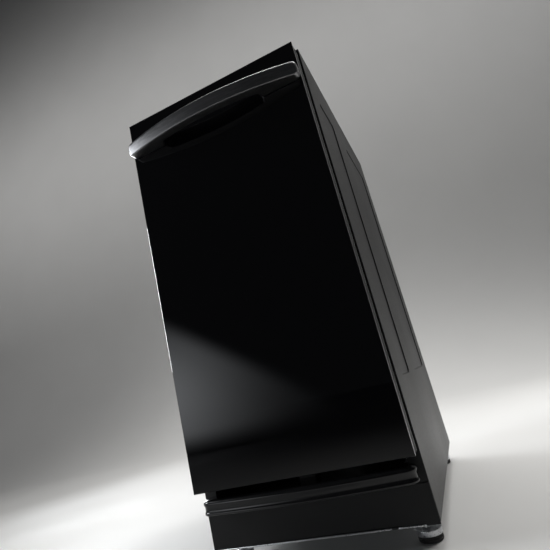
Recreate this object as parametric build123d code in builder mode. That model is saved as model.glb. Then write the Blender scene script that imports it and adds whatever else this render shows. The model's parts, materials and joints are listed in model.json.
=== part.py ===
from build123d import *

import os
from math import acos, atan2, ceil, cos, pi, radians, sin, sqrt, tan

# An under-counter trash compactor, 15 inches wide, with a pull-out drawer behind a flat glass
# front. A motor turns two power screws through a gear and a chain, and they pull a ram down
# into the drawer's container. A toe pedal under the drawer lets it go.
#
# Millimetres. +X is to the right of someone facing the glass, +Y goes into the machine, +Z is
# up. The origin is on the floor, under the middle of the whole machine's outline. "Depth" is
# always measured from the face of the glass into the machine.

os.makedirs("parts", exist_ok=True)

# ------------------------------------------------------------------ driving dimensions
cabinet_width = 379.0
cabinet_height = 867.0
cabinet_depth = 576.0  # front flange to rear edge
door_depth = 37.0  # glass face to the cabinet's front flange
handle_reach = 44.0  # glass face to the front of the handle

sheet = 1.5  # cabinet sheet steel
plate = 2.5  # frame steel
gap = 0.5  # between pieces that pass each other
seat_clearance = 0.3  # between pieces that drop into one another
run_clearance = 0.05  # round a shaft that turns in its bore
roll_gap = 0.3  # between a roller and what it rolls on
press_depth = 2.0  # stiffening fields pressed into the sheets

# legs
foot_height = 9.0
foot_radius = 19.0
disc_height = 10.0
disc_radius = 20.0
stud_radius = 4.0
stud_length = 62.0
leg_inset_x = 27.0
leg_inset_front = 43.0
leg_inset_rear = 55.0

# cabinet
skirt_z = 37.0  # lower edge of the side panels
pan_z = 52.0  # underside of the base pan
pan_thickness = 2.0
front_flange = 22.0
rear_flange = 14.0
rear_recess = 12.0
header_height = 28.0
header_depth = 24.0
gland_x = 128.0
gland_z = 96.0
gland_radius = 11.0
cable_radius = 6.5
bracket_inset = 39.5  # screw hole to the side of the cabinet
bracket_width = 42.0
bracket_reach = 24.0
bracket_hole = 2.6
kick_bottom = 34.0
kick_height = 56.0
kick_setback = 2.5  # kick plate's face to the front flange
hem_length = 268.0
hem_height = 4.0

# drawer front
door_side_gap = 2.5  # each side of the glass to the side of the cabinet
door_top_gap = 9.0
door_bottom = 134.0
glass_thickness = 4.0
pan_depth = 28.0
pan_return = 12.0
door_margin = 1.0  # the glass overhangs the steel behind it
liner_thickness = 2.0
bumper_radius = 7.0

# handle
handle_inset = 1.0
handle_drop = 81.0  # top of the glass to the underside of the handle
handle_height = 31.0
handle_end_reach = 17.5
handle_corner = 9.0
grip_reach = 25.0  # glass face to the back of the grip, in the middle
grip_end_reach = 15.0
grip_half = 104.0
grip_slope = 7.0
handle_screw_x = 150.0
handle_screw_radius = 2.5

# controls in the top edge of the drawer front
strip_length = 190.0
strip_width = 20.0
strip_height = 7.0
strip_lap = 3.0
button_radius = 7.0
button_gap = 0.35
button_proud = 2.0
button_travel = 1.5
start_x = 60.0
stop_x = 26.0
key_x = -60.0
key_radius = 6.0
board_height = 12.0
stem_radius = 2.5

# container, tray, rails and rollers
container_width = 240.0
container_depth = 430.0
container_front = 47.0
container_bottom = 150.0
container_height = 380.0
container_wall = 2.0
container_floor = 3.0
container_corner = 18.0
rim_width = 3.0
tray_wall = 2.0
tray_clearance = 0.5
tray_height = 48.0
rail_wall = 2.0
rail_flange = 13.0
rail_height = 31.0
rail_overrun = 95.0  # length behind the container
rail_tab = 26.0
rail_screw_radius = 2.5
roller_radius = 11.0
roller_width = 7.0
roller_z = 190.0
roller_depth = 58.0
axle_radius = 3.0
axle_space = 3.0
track_gap = 4.0
track_front = 42.0
track_rear_gap = 4.0
track_brackets = (80.0, 400.0, 570.0)

# power screws, their frame and the ram
screw_gap = 2.5  # track to power screw
screw_depth = 265.0
screw_radius = 10.0
journal_radius = 8.0
bearing_radius = 15.0
bearing_height = 12.0
beam_height = 20.0
beam_drop = 39.0  # top of the cabinet to the underside of the crossbeam
upright_half = 28.0
upright_flange = 14.0
bolt_radius = 3.0
nut_radius = 17.0
nut_length = 50.0
head_drop = 56.0  # underside of the crossbeam to the underside of the crosshead
head_height = 40.0
head_half = 22.0
head_wall = 3.0
ram_gap = 7.0  # each side of the ram to the outside of the container
ram_depth = 400.0
ram_rim = 20.0
ram_wall = 3.0
column_inset = 18.0
column_depth = 330.0
column_height = 217.0

# drive
chain_pitch = 9.525
chain_links = 108
sprocket_teeth = 15
sprocket_thickness = 4.0
sprocket_z = 74.0
link_half_width = 3.8
link_plate = 1.2
link_gap = 0.5
gear_module = 2.0
gear_teeth = 42
pinion_teeth = 12
gear_backlash = 0.5
gear_bottom = 84.0
gear_thickness = 10.0
bracket_top = 110.0
bracket_plate = 4.0
bracket_left = -62.0
bracket_front = 475.0
bracket_back = 595.0
motor_depth = 545.0
motor_radius = 51.0
motor_height = 170.0
motor_shaft = 6.0

# toe pedal
pedal_side_gap = 8.5
pedal_bottom = 97.0
pedal_height = 24.0
pedal_reach = 8.0  # how far its middle stands in front of the glass face
pedal_end = 2.0
pedal_corner = 18.0
pedal_wall = 3.0
pedal_lip_back = 25.0
tread_back = 80.0
tread_gap = 7.5  # the tread to the cabinet's front flanges
pivot_depth = 100.0
pivot_z = 110.0
pivot_radius = 5.0
hub_radius = 9.0
arm_x = 112.0
arm_width = 12.0
magnet_width = 32.0
magnet_depth = 62.0
magnet_length = 20.0

# ------------------------------------------------------------------ places worked out from them
half_width = cabinet_width / 2
inside = half_width - sheet
glass_y = handle_reach - (handle_reach + door_depth + cabinet_depth) / 2
front_y = glass_y + door_depth
back_y = front_y + cabinet_depth
middle_y = (front_y + back_y) / 2
top_z = cabinet_height - sheet
pan_top = pan_z + pan_thickness
screw_y = glass_y + screw_depth
bracket_spacing = cabinet_width - 2 * bracket_inset
door_width = cabinet_width - 2 * door_side_gap
door_top = cabinet_height - door_top_gap
handle_length = door_width - 2 * handle_inset
handle_bottom = door_top - handle_drop
beam_bottom = cabinet_height - beam_drop
head_bottom = beam_bottom - head_drop
ram_width = container_width - 2 * ram_gap
column_width = ram_width - 2 * column_inset
pedal_half = half_width - pedal_side_gap
tread_half = half_width - front_flange - tread_gap


def depth(d):
    """The y of a point at depth d."""
    return glass_y + d


def block(x, y, z, mode=Mode.ADD):
    """A box between two limits on each axis."""
    centre = [(low + high) / 2 for low, high in (x, y, z)]
    with Locations(tuple(centre)):
        Box(*(high - low for low, high in (x, y, z)), mode=mode)


def disc(x, y, z, radius, mode=Mode.ADD):
    """An upright cylinder between two heights."""
    with Locations((x, y, (z[0] + z[1]) / 2)):
        Cylinder(radius, z[1] - z[0], mode=mode)


def pin(x, y, z, radius, mode=Mode.ADD):
    """A cylinder along X between two places."""
    with Locations(((x[0] + x[1]) / 2, y, z)):
        Cylinder(radius, abs(x[1] - x[0]), rotation=(0, 90, 0), mode=mode)


def bolt(x, y, z, radius, mode=Mode.ADD):
    """A cylinder along Y between two places."""
    with Locations((x, (y[0] + y[1]) / 2, z)):
        Cylinder(radius, abs(y[1] - y[0]), rotation=(90, 0, 0), mode=mode)


def wall_facing_front(y):
    """A plane across the machine at a given y, whose own x and y are X and Z."""
    return Plane.XZ.offset(-y)


def write(builder, label):
    """Names a finished piece and writes its STEP file."""
    builder.part.label = label
    export_step(builder.part, f"parts/{label}.step")


def write_pair(builder, right_label, left_label):
    """Writes a right-hand piece, and its mirror image for the left."""
    write(builder, right_label)
    with BuildPart() as other:
        add(mirror(builder.part, about=Plane.YZ))
    write(other, left_label)


# ------------------------------------------------------------------ cabinet
# Side panels: flat sheets with turned edges and two pressed stiffening fields.
field_low, field_high = 240.0, cabinet_height - 77.0
fields = ((depth(105), depth(215)), (depth(330), depth(540)))
with BuildPart() as side_panel:
    with BuildSketch(Plane.XY.offset(skirt_z)):
        with Locations((half_width - sheet / 2, middle_y)):
            Rectangle(sheet, cabinet_depth)
        with Locations((half_width - front_flange / 2, front_y + sheet / 2)):
            Rectangle(front_flange, sheet)
        with Locations((half_width - rear_flange / 2, back_y - sheet / 2)):
            Rectangle(rear_flange, sheet)
    extrude(amount=top_z - skirt_z)
    for low_y, high_y in fields:
        place = ((low_y + high_y) / 2, (field_low + field_high) / 2)
        length = high_y - low_y
        height = field_high - field_low
        with BuildSketch(Plane.YZ.offset(inside)):
            with Locations(place):
                RectangleRounded(length, height, 12)
        extrude(amount=-press_depth, taper=45)
        with BuildSketch(Plane.YZ.offset(half_width)):
            with Locations(place):
                RectangleRounded(length - sheet, height - sheet, 12 - sheet / 2)
        extrude(amount=-press_depth, taper=45, mode=Mode.SUBTRACT)
write_pair(side_panel, "right_side_panel", "left_side_panel")

# The top panel turns down at the front into a boxed header, and at the rear into a lip.
panel_half = inside - seat_clearance
header_front = front_y + sheet
header_bottom = top_z - header_height
with BuildPart() as top_panel:
    block((-half_width, half_width), (front_y, back_y), (top_z, cabinet_height))
    block((-panel_half, panel_half), (header_front, header_front + sheet), (header_bottom, top_z))
    block(
        (-panel_half, panel_half),
        (header_front, header_front + header_depth),
        (header_bottom, header_bottom + sheet),
    )
    block(
        (-panel_half, panel_half),
        (header_front + header_depth - sheet, header_front + header_depth),
        (header_bottom, header_bottom + 10),
    )
    lip_half = half_width - rear_flange - seat_clearance
    block((-lip_half, lip_half), (back_y - sheet, back_y), (top_z - rear_flange, top_z))
write(top_panel, "top_panel")

with BuildPart() as counter_brackets:
    for side in (-1, 1):
        x0 = side * bracket_spacing / 2 - bracket_width / 2
        span = (x0, x0 + bracket_width)
        block(span, (front_y - bracket_reach, front_y), (top_z, cabinet_height))
        block(span, (front_y - sheet, front_y), (top_z - 6, top_z))
    for side in (-1, 1):
        disc(
            side * bracket_spacing / 2,
            front_y - bracket_reach / 2,
            (top_z, cabinet_height),
            bracket_hole,
            mode=Mode.SUBTRACT,
        )
write(counter_brackets, "counter_brackets")

# The rear panel is a recessed pan, so that the cable's gland stays within the outline.
recess_y = back_y - rear_recess  # rear face of its floor
recess_half = half_width - rear_flange - 4
recess_top = top_z - 20
vent_bottom, vent_pitch, vent_rows = 135.0, 14.0, 9
with BuildPart() as rear_panel:
    rim_y = (back_y - 2 * sheet, back_y - sheet)
    block((-panel_half, panel_half), rim_y, (skirt_z, top_z - seat_clearance))
    block((-recess_half, recess_half), rim_y, (skirt_z, recess_top), mode=Mode.SUBTRACT)
    floor_y = (recess_y - sheet, recess_y)
    block((-recess_half, recess_half), floor_y, (skirt_z, recess_top))
    for side in (-1, 1):
        edge = (side * recess_half, side * (recess_half + sheet))
        block((min(edge), max(edge)), (floor_y[0], rim_y[1]), (skirt_z, recess_top + sheet))
    block(
        (-recess_half - sheet, recess_half + sheet),
        (floor_y[0], rim_y[1]),
        (recess_top, recess_top + sheet),
    )
    with BuildSketch(wall_facing_front(recess_y)):
        for x0 in (-92, 0, 92):
            for row in range(vent_rows):
                with Locations((x0, vent_bottom + row * vent_pitch)):
                    SlotOverall(64, 5)
        with Locations((gland_x, gland_z)):
            Circle(gland_radius)
    extrude(amount=sheet, mode=Mode.SUBTRACT)
    for z0 in (360, 520, 680):
        with BuildSketch(wall_facing_front(recess_y)):
            with Locations((0, z0)):
                RectangleRounded(270, 60, 10)
        extrude(amount=-press_depth, taper=45)
        with BuildSketch(wall_facing_front(recess_y - sheet)):
            with Locations((0, z0)):
                RectangleRounded(270 - sheet, 60 - sheet, 10 - sheet / 2)
        extrude(amount=-press_depth, taper=45, mode=Mode.SUBTRACT)
write(rear_panel, "rear_panel")

with BuildPart() as cord_gland:
    bolt(gland_x, (recess_y, recess_y + 4), gland_z, gland_radius + 3)
    bolt(gland_x, (recess_y - sheet - 4, recess_y), gland_z, gland_radius)
    bolt(gland_x, (recess_y - sheet - 4, recess_y + 4), gland_z, cable_radius, mode=Mode.SUBTRACT)
write(cord_gland, "cord_gland")

leg_x = half_width - leg_inset_x
leg_places = {
    "front_left": (-leg_x, front_y + leg_inset_front),
    "front_right": (leg_x, front_y + leg_inset_front),
    "rear_left": (-leg_x, back_y - leg_inset_rear),
    "rear_right": (leg_x, back_y - leg_inset_rear),
}

# The base pan carries the screws' lower bearings and the ears of the pedal's rod.
ear_inner = arm_x + arm_width / 2 + 3
ear_outer = ear_inner + plate
with BuildPart() as base_pan:
    front_edge = front_y + 6
    rear_edge = recess_y - sheet - seat_clearance
    block((-panel_half, panel_half), (front_edge, rear_edge), (pan_z, pan_top))
    for y0 in (front_edge, rear_edge - pan_thickness):
        block((-panel_half, panel_half), (y0, y0 + pan_thickness), (skirt_z + 4, pan_z))
    for side in (-1, 1):
        ends = (side * ear_inner, side * ear_outer)
        span = (min(ends), max(ends))
        block(span, (depth(pivot_depth - 12), depth(pivot_depth + 12)), (pan_top, pivot_z))
        pin(span, depth(pivot_depth), pivot_z, 12)
        pin(span, depth(pivot_depth), pivot_z, pivot_radius, mode=Mode.SUBTRACT)
    for x0, y0 in leg_places.values():
        disc(x0, y0, (pan_z, pan_top), stud_radius + 0.5, mode=Mode.SUBTRACT)
write(base_pan, "base_pan")

with BuildPart() as kick_plate:
    kick_half = half_width - gap
    face = front_y - kick_setback
    block((-kick_half, kick_half), (face, face + sheet), (kick_bottom, kick_bottom + kick_height))
    top_fold = kick_bottom + kick_height
    block((-kick_half, kick_half), (face + sheet, front_y), (top_fold - sheet, top_fold))
    with BuildSketch(Plane.YZ.offset(-hem_length / 2)):
        with Locations((face, kick_bottom + hem_height / 2)):
            RectangleRounded(2.4, hem_height, 1.1)
    extrude(amount=hem_length)
write(kick_plate, "kick_plate")

# ------------------------------------------------------------------ levelling legs
for name, (x0, y0) in leg_places.items():
    disc_top = foot_height + disc_height
    with BuildPart() as leg:
        disc(x0, y0, (foot_height, disc_top), disc_radius)
        fillet(leg.edges().filter_by(GeomType.CIRCLE), 1.5)
        disc(x0, y0, (disc_top, disc_top + 4), stud_radius + 3)
        disc(x0, y0, (disc_top, foot_height + stud_length), stud_radius)
        chamfer(leg.edges().filter_by(GeomType.CIRCLE).sort_by(Axis.Z)[-1], 1)
    write(leg, f"{name}_leg")

    with BuildPart() as foot:
        disc(x0, y0, (0, foot_height), foot_radius)
        chamfer(foot.edges().filter_by(GeomType.CIRCLE).sort_by(Axis.Z)[0], 2)
    write(foot, f"{name}_foot")

# ------------------------------------------------------------------ tracks and rollers
rail_inner = container_width / 2 + tray_clearance + tray_wall
rail_outer = rail_inner + rail_wall
flange_outer = rail_outer + rail_flange
track_inner = flange_outer + track_gap
track_outer = track_inner + rail_wall
screw_x = track_outer + screw_gap + screw_radius
rail_under = roller_z + roller_radius + roll_gap  # underside of the rail's flange
rail_top = rail_under + rail_wall
track_roof = rail_top + gap
drawer_roller_z = track_roof - roll_gap - roller_radius
track_floor = drawer_roller_z - roller_radius - roll_gap
container_back = container_front + container_depth
rail_back = container_back + rail_overrun
drawer_roller_depth = rail_back - roller_radius - 1
track_back = recess_y - sheet - track_rear_gap - glass_y

with BuildPart() as track:
    web = (depth(track_front), depth(track_back))
    block((track_inner, track_outer), web, (track_floor - 5, track_roof + rail_wall))
    flange_front = depth(roller_depth + roller_radius + axle_space)
    for z0 in (track_floor - rail_wall, track_roof):
        block((rail_outer + axle_space, track_inner), (flange_front, web[1]), (z0, z0 + rail_wall))
    for d0 in track_brackets:
        span = (depth(d0 - 12), depth(d0 + 12))
        block((track_outer, panel_half), span, (roller_z - 1, roller_z + 1))
        block((panel_half - rail_wall, panel_half), span, (roller_z - 10, roller_z + 10))
    pin((track_inner, track_outer), depth(roller_depth), roller_z, axle_radius, mode=Mode.SUBTRACT)
write_pair(track, "right_track", "left_track")

# A front roller turns on each track, and a rear roller on each of the drawer's rails.
front_roller_x = (track_inner - axle_space - roller_width, track_inner - axle_space)
rear_roller_x = (rail_outer + axle_space, rail_outer + axle_space + roller_width)
roller_sets = {
    "front": (front_roller_x, depth(roller_depth), roller_z),
    "rear": (rear_roller_x, depth(drawer_roller_depth), drawer_roller_z),
}
for name, (span, y0, z0) in roller_sets.items():
    with BuildPart() as roller:
        pin(span, y0, z0, roller_radius)
        fillet(roller.edges().filter_by(GeomType.CIRCLE), 1)
        pin(span, y0, z0, axle_radius + run_clearance, mode=Mode.SUBTRACT)
    write_pair(roller, f"{name}_right_roller", f"{name}_left_roller")

# ------------------------------------------------------------------ drawer body
liner_back = glass_thickness + pan_depth + liner_thickness
rail_screw_x = rail_outer + rail_tab - 7
rail_screw_z = (rail_top - rail_height + 6, rail_under - 6)
with BuildPart() as drawer_rail:
    block(
        (rail_inner, rail_outer),
        (depth(liner_back), depth(rail_back)),
        (rail_top - rail_height, rail_top),
    )
    block(
        (rail_outer, flange_outer),
        (depth(liner_back), depth(drawer_roller_depth - roller_radius - axle_space)),
        (rail_under, rail_top),
    )
    block(
        (rail_outer, rail_outer + rail_tab),
        (depth(liner_back), depth(liner_back + rail_wall)),
        (rail_top - rail_height, rail_under),
    )
    axle_place = (depth(drawer_roller_depth), drawer_roller_z)
    pin((rail_inner, rail_outer), *axle_place, axle_radius, mode=Mode.SUBTRACT)
    for z0 in rail_screw_z:
        span = (depth(liner_back), depth(liner_back + rail_wall))
        bolt(rail_screw_x, span, z0, rail_screw_radius, mode=Mode.SUBTRACT)
write_pair(drawer_rail, "right_drawer_rail", "left_drawer_rail")

# A tray between the rails carries the container.
tray_half = container_width / 2 + tray_clearance
tray_front = (depth(liner_back), depth(liner_back + tray_wall))
tray_back = (depth(container_back + tray_clearance), depth(container_back + tray_clearance + tray_wall))
with BuildPart() as drawer_tray:
    floor_z = (container_bottom - tray_wall, container_bottom)
    wall_z = (container_bottom, container_bottom + tray_height)
    block((-rail_inner, rail_inner), (tray_front[0], tray_back[1]), floor_z)
    for ends in ((-rail_inner, -tray_half), (tray_half, rail_inner)):
        block(ends, (tray_front[0], tray_back[1]), wall_z)
    block((-tray_half, tray_half), tray_front, wall_z)
    block((-tray_half, tray_half), tray_back, (container_bottom, container_bottom + 22))
    stop_y = depth(container_front - tray_clearance)
    block((-60, 60), (stop_y - tray_wall, stop_y), (container_bottom, container_bottom + 12))
write(drawer_tray, "drawer_tray")

container_y = depth(container_front + container_depth / 2)
container_top = container_bottom + container_height
with BuildPart() as container:
    with BuildSketch(Plane.XY.offset(container_bottom)):
        with Locations((0, container_y)):
            RectangleRounded(container_width, container_depth, container_corner)
    extrude(amount=container_height)
    with BuildSketch(Plane.XY.offset(container_top - rim_width)):
        with Locations((0, container_y)):
            RectangleRounded(
                container_width + 2 * rim_width,
                container_depth + 2 * rim_width,
                container_corner + rim_width,
            )
    extrude(amount=rim_width)
    with BuildSketch(Plane.XY.offset(container_bottom + container_floor)):
        with Locations((0, container_y)):
            RectangleRounded(
                container_width - 2 * container_wall,
                container_depth - 2 * container_wall,
                container_corner - container_wall,
            )
    extrude(amount=container_height, mode=Mode.SUBTRACT)
write(container, "container")

# ------------------------------------------------------------------ drawer front
handle_mid_z = handle_bottom + handle_height / 2
screw_places = [(side * handle_screw_x, handle_mid_z) for side in (-1, 1)]

with BuildPart() as glass_panel:
    block((-door_width / 2, door_width / 2), (glass_y, depth(glass_thickness)), (door_bottom, door_top))
    chamfer(glass_panel.faces().sort_by(Axis.Y)[0].edges(), 0.6)
    for x0, z0 in screw_places:
        bolt(x0, (glass_y, depth(glass_thickness)), z0, handle_screw_radius + 1, mode=Mode.SUBTRACT)
write(glass_panel, "glass_panel")

door_half = door_width / 2 - door_margin
pan_low = door_bottom + door_margin
pan_high = door_top - door_margin
pan_back = glass_thickness + pan_depth
strip_front = glass_thickness + (pan_depth - strip_width) / 2
strip_y = (depth(strip_front), depth(strip_front + strip_width))
with BuildPart() as door_pan:
    block((-door_half, door_half), (depth(glass_thickness), depth(pan_back)), (pan_low, pan_high))
    block(
        (sheet - door_half, door_half - sheet),
        (depth(glass_thickness + sheet), depth(pan_back - sheet)),
        (pan_low + sheet, pan_high - sheet),
        mode=Mode.SUBTRACT,
    )
    block(
        (pan_return - door_half, door_half - pan_return),
        (depth(pan_back - sheet), depth(pan_back)),
        (pan_low + pan_return, pan_high - pan_return),
        mode=Mode.SUBTRACT,
    )
    block(
        (-strip_length / 2, strip_length / 2),
        strip_y,
        (pan_high - sheet, pan_high),
        mode=Mode.SUBTRACT,
    )
    for x0, z0 in screw_places:
        front = (depth(glass_thickness), depth(glass_thickness + sheet))
        bolt(x0, front, z0, handle_screw_radius, mode=Mode.SUBTRACT)
write(door_pan, "door_pan")

rail_screws = [(side * rail_screw_x, z0) for side in (-1, 1) for z0 in rail_screw_z]
with BuildPart() as door_liner:
    block((-door_half, door_half), (depth(pan_back), depth(liner_back)), (pan_low, pan_high))
    for x0, z0 in rail_screws:
        span = (depth(pan_back), depth(liner_back))
        bolt(x0, span, z0, rail_screw_radius, mode=Mode.SUBTRACT)
    field_z = (container_top + 20, pan_high - 40)
    block(
        (-door_half + 40, door_half - 40),
        (depth(pan_back - 3), depth(pan_back)),
        field_z,
    )
    block(
        (-door_half + 42, door_half - 42),
        (depth(pan_back - 1), depth(liner_back)),
        (field_z[0] + 2, field_z[1] - 2),
        mode=Mode.SUBTRACT,
    )
write(door_liner, "door_liner")

bumper_x = half_width - front_flange / 2
with BuildPart() as door_bumpers:
    for side in (-1, 1):
        for z0 in (door_bottom + 40, door_top - 40):
            bolt(side * bumper_x, (depth(liner_back), depth(door_depth) - gap), z0, bumper_radius)
write(door_bumpers, "door_bumpers")

# The handle bows forward in plan. Its back is cut away between two feet that stand on the glass.
with BuildPart() as handle:
    with BuildSketch(Plane.XY.offset(handle_bottom)):
        with BuildLine():
            end = handle_length / 2
            ThreePointArc(
                (-end, depth(-handle_end_reach)),
                (0, depth(-handle_reach)),
                (end, depth(-handle_end_reach)),
            )
            Polyline(
                (end, depth(-handle_end_reach)),
                (end, glass_y),
                (grip_half + grip_slope, glass_y),
                (grip_half, depth(-grip_end_reach)),
            )
            ThreePointArc(
                (grip_half, depth(-grip_end_reach)),
                (0, depth(-grip_reach)),
                (-grip_half, depth(-grip_end_reach)),
            )
            Polyline(
                (-grip_half, depth(-grip_end_reach)),
                (-grip_half - grip_slope, glass_y),
                (-end, glass_y),
                (-end, depth(-handle_end_reach)),
            )
        make_face()
    extrude(amount=handle_height)
    ends = handle.edges().filter_by(Axis.Y).group_by(Axis.X)
    fillet(ends[0] + ends[-1], handle_corner)
    for x0, z0 in screw_places:
        bolt(x0, (depth(-12), glass_y), z0, handle_screw_radius, mode=Mode.SUBTRACT)
write(handle, "handle")

# ------------------------------------------------------------------ controls
strip_bottom = pan_high - strip_height
strip_mid = (strip_y[0] + strip_y[1]) / 2
boss_bottom = strip_bottom - 10
with BuildPart() as control_strip:
    block(
        (-strip_length / 2 - strip_lap, strip_length / 2 + strip_lap),
        (strip_y[0] - strip_lap, strip_y[1] + strip_lap),
        (pan_high, door_top),
    )
    block(
        (seat_clearance - strip_length / 2, strip_length / 2 - seat_clearance),
        (strip_y[0] + seat_clearance, strip_y[1] - seat_clearance),
        (strip_bottom, pan_high),
    )
    disc(key_x, strip_mid, (boss_bottom, strip_bottom), key_radius + 3)
    disc(key_x, strip_mid, (boss_bottom, door_top), key_radius + run_clearance, mode=Mode.SUBTRACT)
    for x0 in (start_x, stop_x):
        disc(x0, strip_mid, (strip_bottom, door_top), button_radius + button_gap, mode=Mode.SUBTRACT)
write(control_strip, "control_strip")

board_top = strip_bottom - 12
stem_end = board_top - 4
for x0, label in ((start_x, "start_button"), (stop_x, "stop_button")):
    with BuildPart() as button:
        disc(x0, strip_mid, (strip_bottom - seat_clearance, door_top + button_proud), button_radius)
        fillet(button.edges().filter_by(GeomType.CIRCLE).sort_by(Axis.Z)[-1], 1)
        lip_top = strip_bottom - seat_clearance
        disc(x0, strip_mid, (lip_top - 1.5, lip_top), button_radius + 1.5)
        disc(x0, strip_mid, (stem_end, lip_top), stem_radius)
    write(button, label)

with BuildPart() as key_switch:
    disc(key_x, strip_mid, (boss_bottom - seat_clearance, door_top + 1), key_radius)
    block(
        (key_x - 4, key_x + 4),
        (strip_mid - 0.6, strip_mid + 0.6),
        (door_top - 1.5, door_top + 1),
        mode=Mode.SUBTRACT,
    )
    cam_top = boss_bottom - seat_clearance
    disc(key_x, strip_mid, (cam_top - 2, cam_top), key_radius + 2)
    block((key_x - 3, key_x + 3), (strip_mid, strip_mid + 9), (cam_top - 4, cam_top - 2))
write(key_switch, "key_switch")

board_x = (stop_x - button_radius - 10, start_x + button_radius + 10)
with BuildPart() as switch_board:
    board_y = (strip_mid - 8, strip_mid + 8)
    block(board_x, board_y, (board_top - board_height, board_top))
    for x0 in (board_x[0], board_x[1] - 4):
        block((x0, x0 + 4), board_y, (board_top, strip_bottom))
    for x0 in (start_x, stop_x):
        disc(
            x0,
            strip_mid,
            (stem_end - button_travel - 1, board_top),
            stem_radius + run_clearance,
            mode=Mode.SUBTRACT,
        )
write(switch_board, "switch_board")

# ------------------------------------------------------------------ power frame
beam_top = beam_bottom + beam_height
upright_outer = inside - gap
with BuildPart() as upright:
    web_x = (upright_outer - plate, upright_outer)
    flange_x = (upright_outer - upright_flange, upright_outer)
    reach_y = (screw_y - upright_half, screw_y + upright_half)
    block(web_x, reach_y, (pan_top, beam_top))
    block(flange_x, (reach_y[0], reach_y[0] + plate), (pan_top, beam_top))
    block(flange_x, (reach_y[1] - plate, reach_y[1]), (pan_top, beam_top))
    bolt_x = upright_outer - 8
    bolt_z = beam_bottom + beam_height / 2
    bolt(bolt_x, reach_y, bolt_z, bolt_radius, mode=Mode.SUBTRACT)
write_pair(upright, "right_upright", "left_upright")

beam_half_y = upright_half - plate - seat_clearance
beam_half_x = upright_outer - plate - seat_clearance
journal_top = beam_top - plate
bearing_top = (journal_top - bearing_height, journal_top)
with BuildPart() as crossbeam:
    block(
        (-beam_half_x, beam_half_x),
        (screw_y - beam_half_y, screw_y + beam_half_y),
        (beam_bottom, beam_top),
    )
    block(
        (-beam_half_x, beam_half_x),
        (screw_y - beam_half_y + plate, screw_y + beam_half_y - plate),
        (beam_bottom, beam_top - plate),
        mode=Mode.SUBTRACT,
    )
    for side in (-1, 1):
        bolt(
            side * bolt_x,
            (screw_y - beam_half_y, screw_y + beam_half_y),
            bolt_z,
            bolt_radius,
            mode=Mode.SUBTRACT,
        )
write(crossbeam, "crossbeam")

sprocket_radius = chain_pitch / (2 * sin(pi / sprocket_teeth))
chain_wrap = 2 * pi * sprocket_radius
side_run = (chain_links * chain_pitch - chain_wrap - 2 * screw_x) / 2
drive_y = screw_y + sqrt(side_run**2 - screw_x**2)
centre_distance = gear_module * (gear_teeth + pinion_teeth) / 2
motor_y = depth(motor_depth)
motor_x = sqrt(centre_distance**2 - (motor_y - drive_y) ** 2)
plate_z = (bracket_top - bracket_plate, bracket_top)
lower_bearing = (pan_top, pan_top + bearing_height)
gear_top = gear_bottom + gear_thickness

with BuildPart() as bearings:
    for x0 in (-screw_x, screw_x):
        for span in (lower_bearing, bearing_top):
            disc(x0, screw_y, span, bearing_radius)
            disc(x0, screw_y, span, journal_radius + run_clearance, mode=Mode.SUBTRACT)
    upper_span = (gear_top + 3, plate_z[0])
    for span in (lower_bearing, upper_span):
        disc(0, drive_y, span, bearing_radius)
        disc(0, drive_y, span, journal_radius + run_clearance, mode=Mode.SUBTRACT)
write(bearings, "bearings")

hub_z = (sprocket_z - sprocket_thickness / 2, sprocket_z + sprocket_thickness / 2 + 6)
thread_z = (hub_z[1] + 4, beam_bottom - 4)
with BuildPart() as power_screw:
    disc(screw_x, screw_y, (pan_top + 1, thread_z[0]), journal_radius)
    disc(screw_x, screw_y, thread_z, screw_radius)
    chamfer(power_screw.edges().filter_by(GeomType.CIRCLE).group_by(Axis.Z)[-1], 1.5)
    disc(screw_x, screw_y, (thread_z[1], journal_top - 1), journal_radius)
write_pair(power_screw, "right_power_screw", "left_power_screw")

with BuildPart() as ram_nuts:
    nut_mid = head_bottom + head_height / 2
    for x0 in (-screw_x, screw_x):
        disc(x0, screw_y, (nut_mid - nut_length / 2, nut_mid + nut_length / 2), nut_radius)
        disc(x0, screw_y, (head_bottom - 5, head_bottom), nut_radius + 4)
        disc(
            x0,
            screw_y,
            (nut_mid - nut_length / 2, nut_mid + nut_length / 2),
            screw_radius + run_clearance,
            mode=Mode.SUBTRACT,
        )
write(ram_nuts, "ram_nuts")

head_top = head_bottom + head_height
head_half_x = screw_x + head_half
with BuildPart() as crosshead:
    block(
        (-head_half_x, head_half_x),
        (screw_y - head_half, screw_y + head_half),
        (head_bottom, head_top),
    )
    block(
        (-head_half_x, head_half_x),
        (screw_y - head_half + head_wall, screw_y + head_half - head_wall),
        (head_bottom + head_wall, head_top - head_wall),
        mode=Mode.SUBTRACT,
    )
    for x0 in (-screw_x, screw_x):
        disc(x0, screw_y, (head_bottom, head_top), nut_radius, mode=Mode.SUBTRACT)
write(crosshead, "crosshead")

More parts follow.
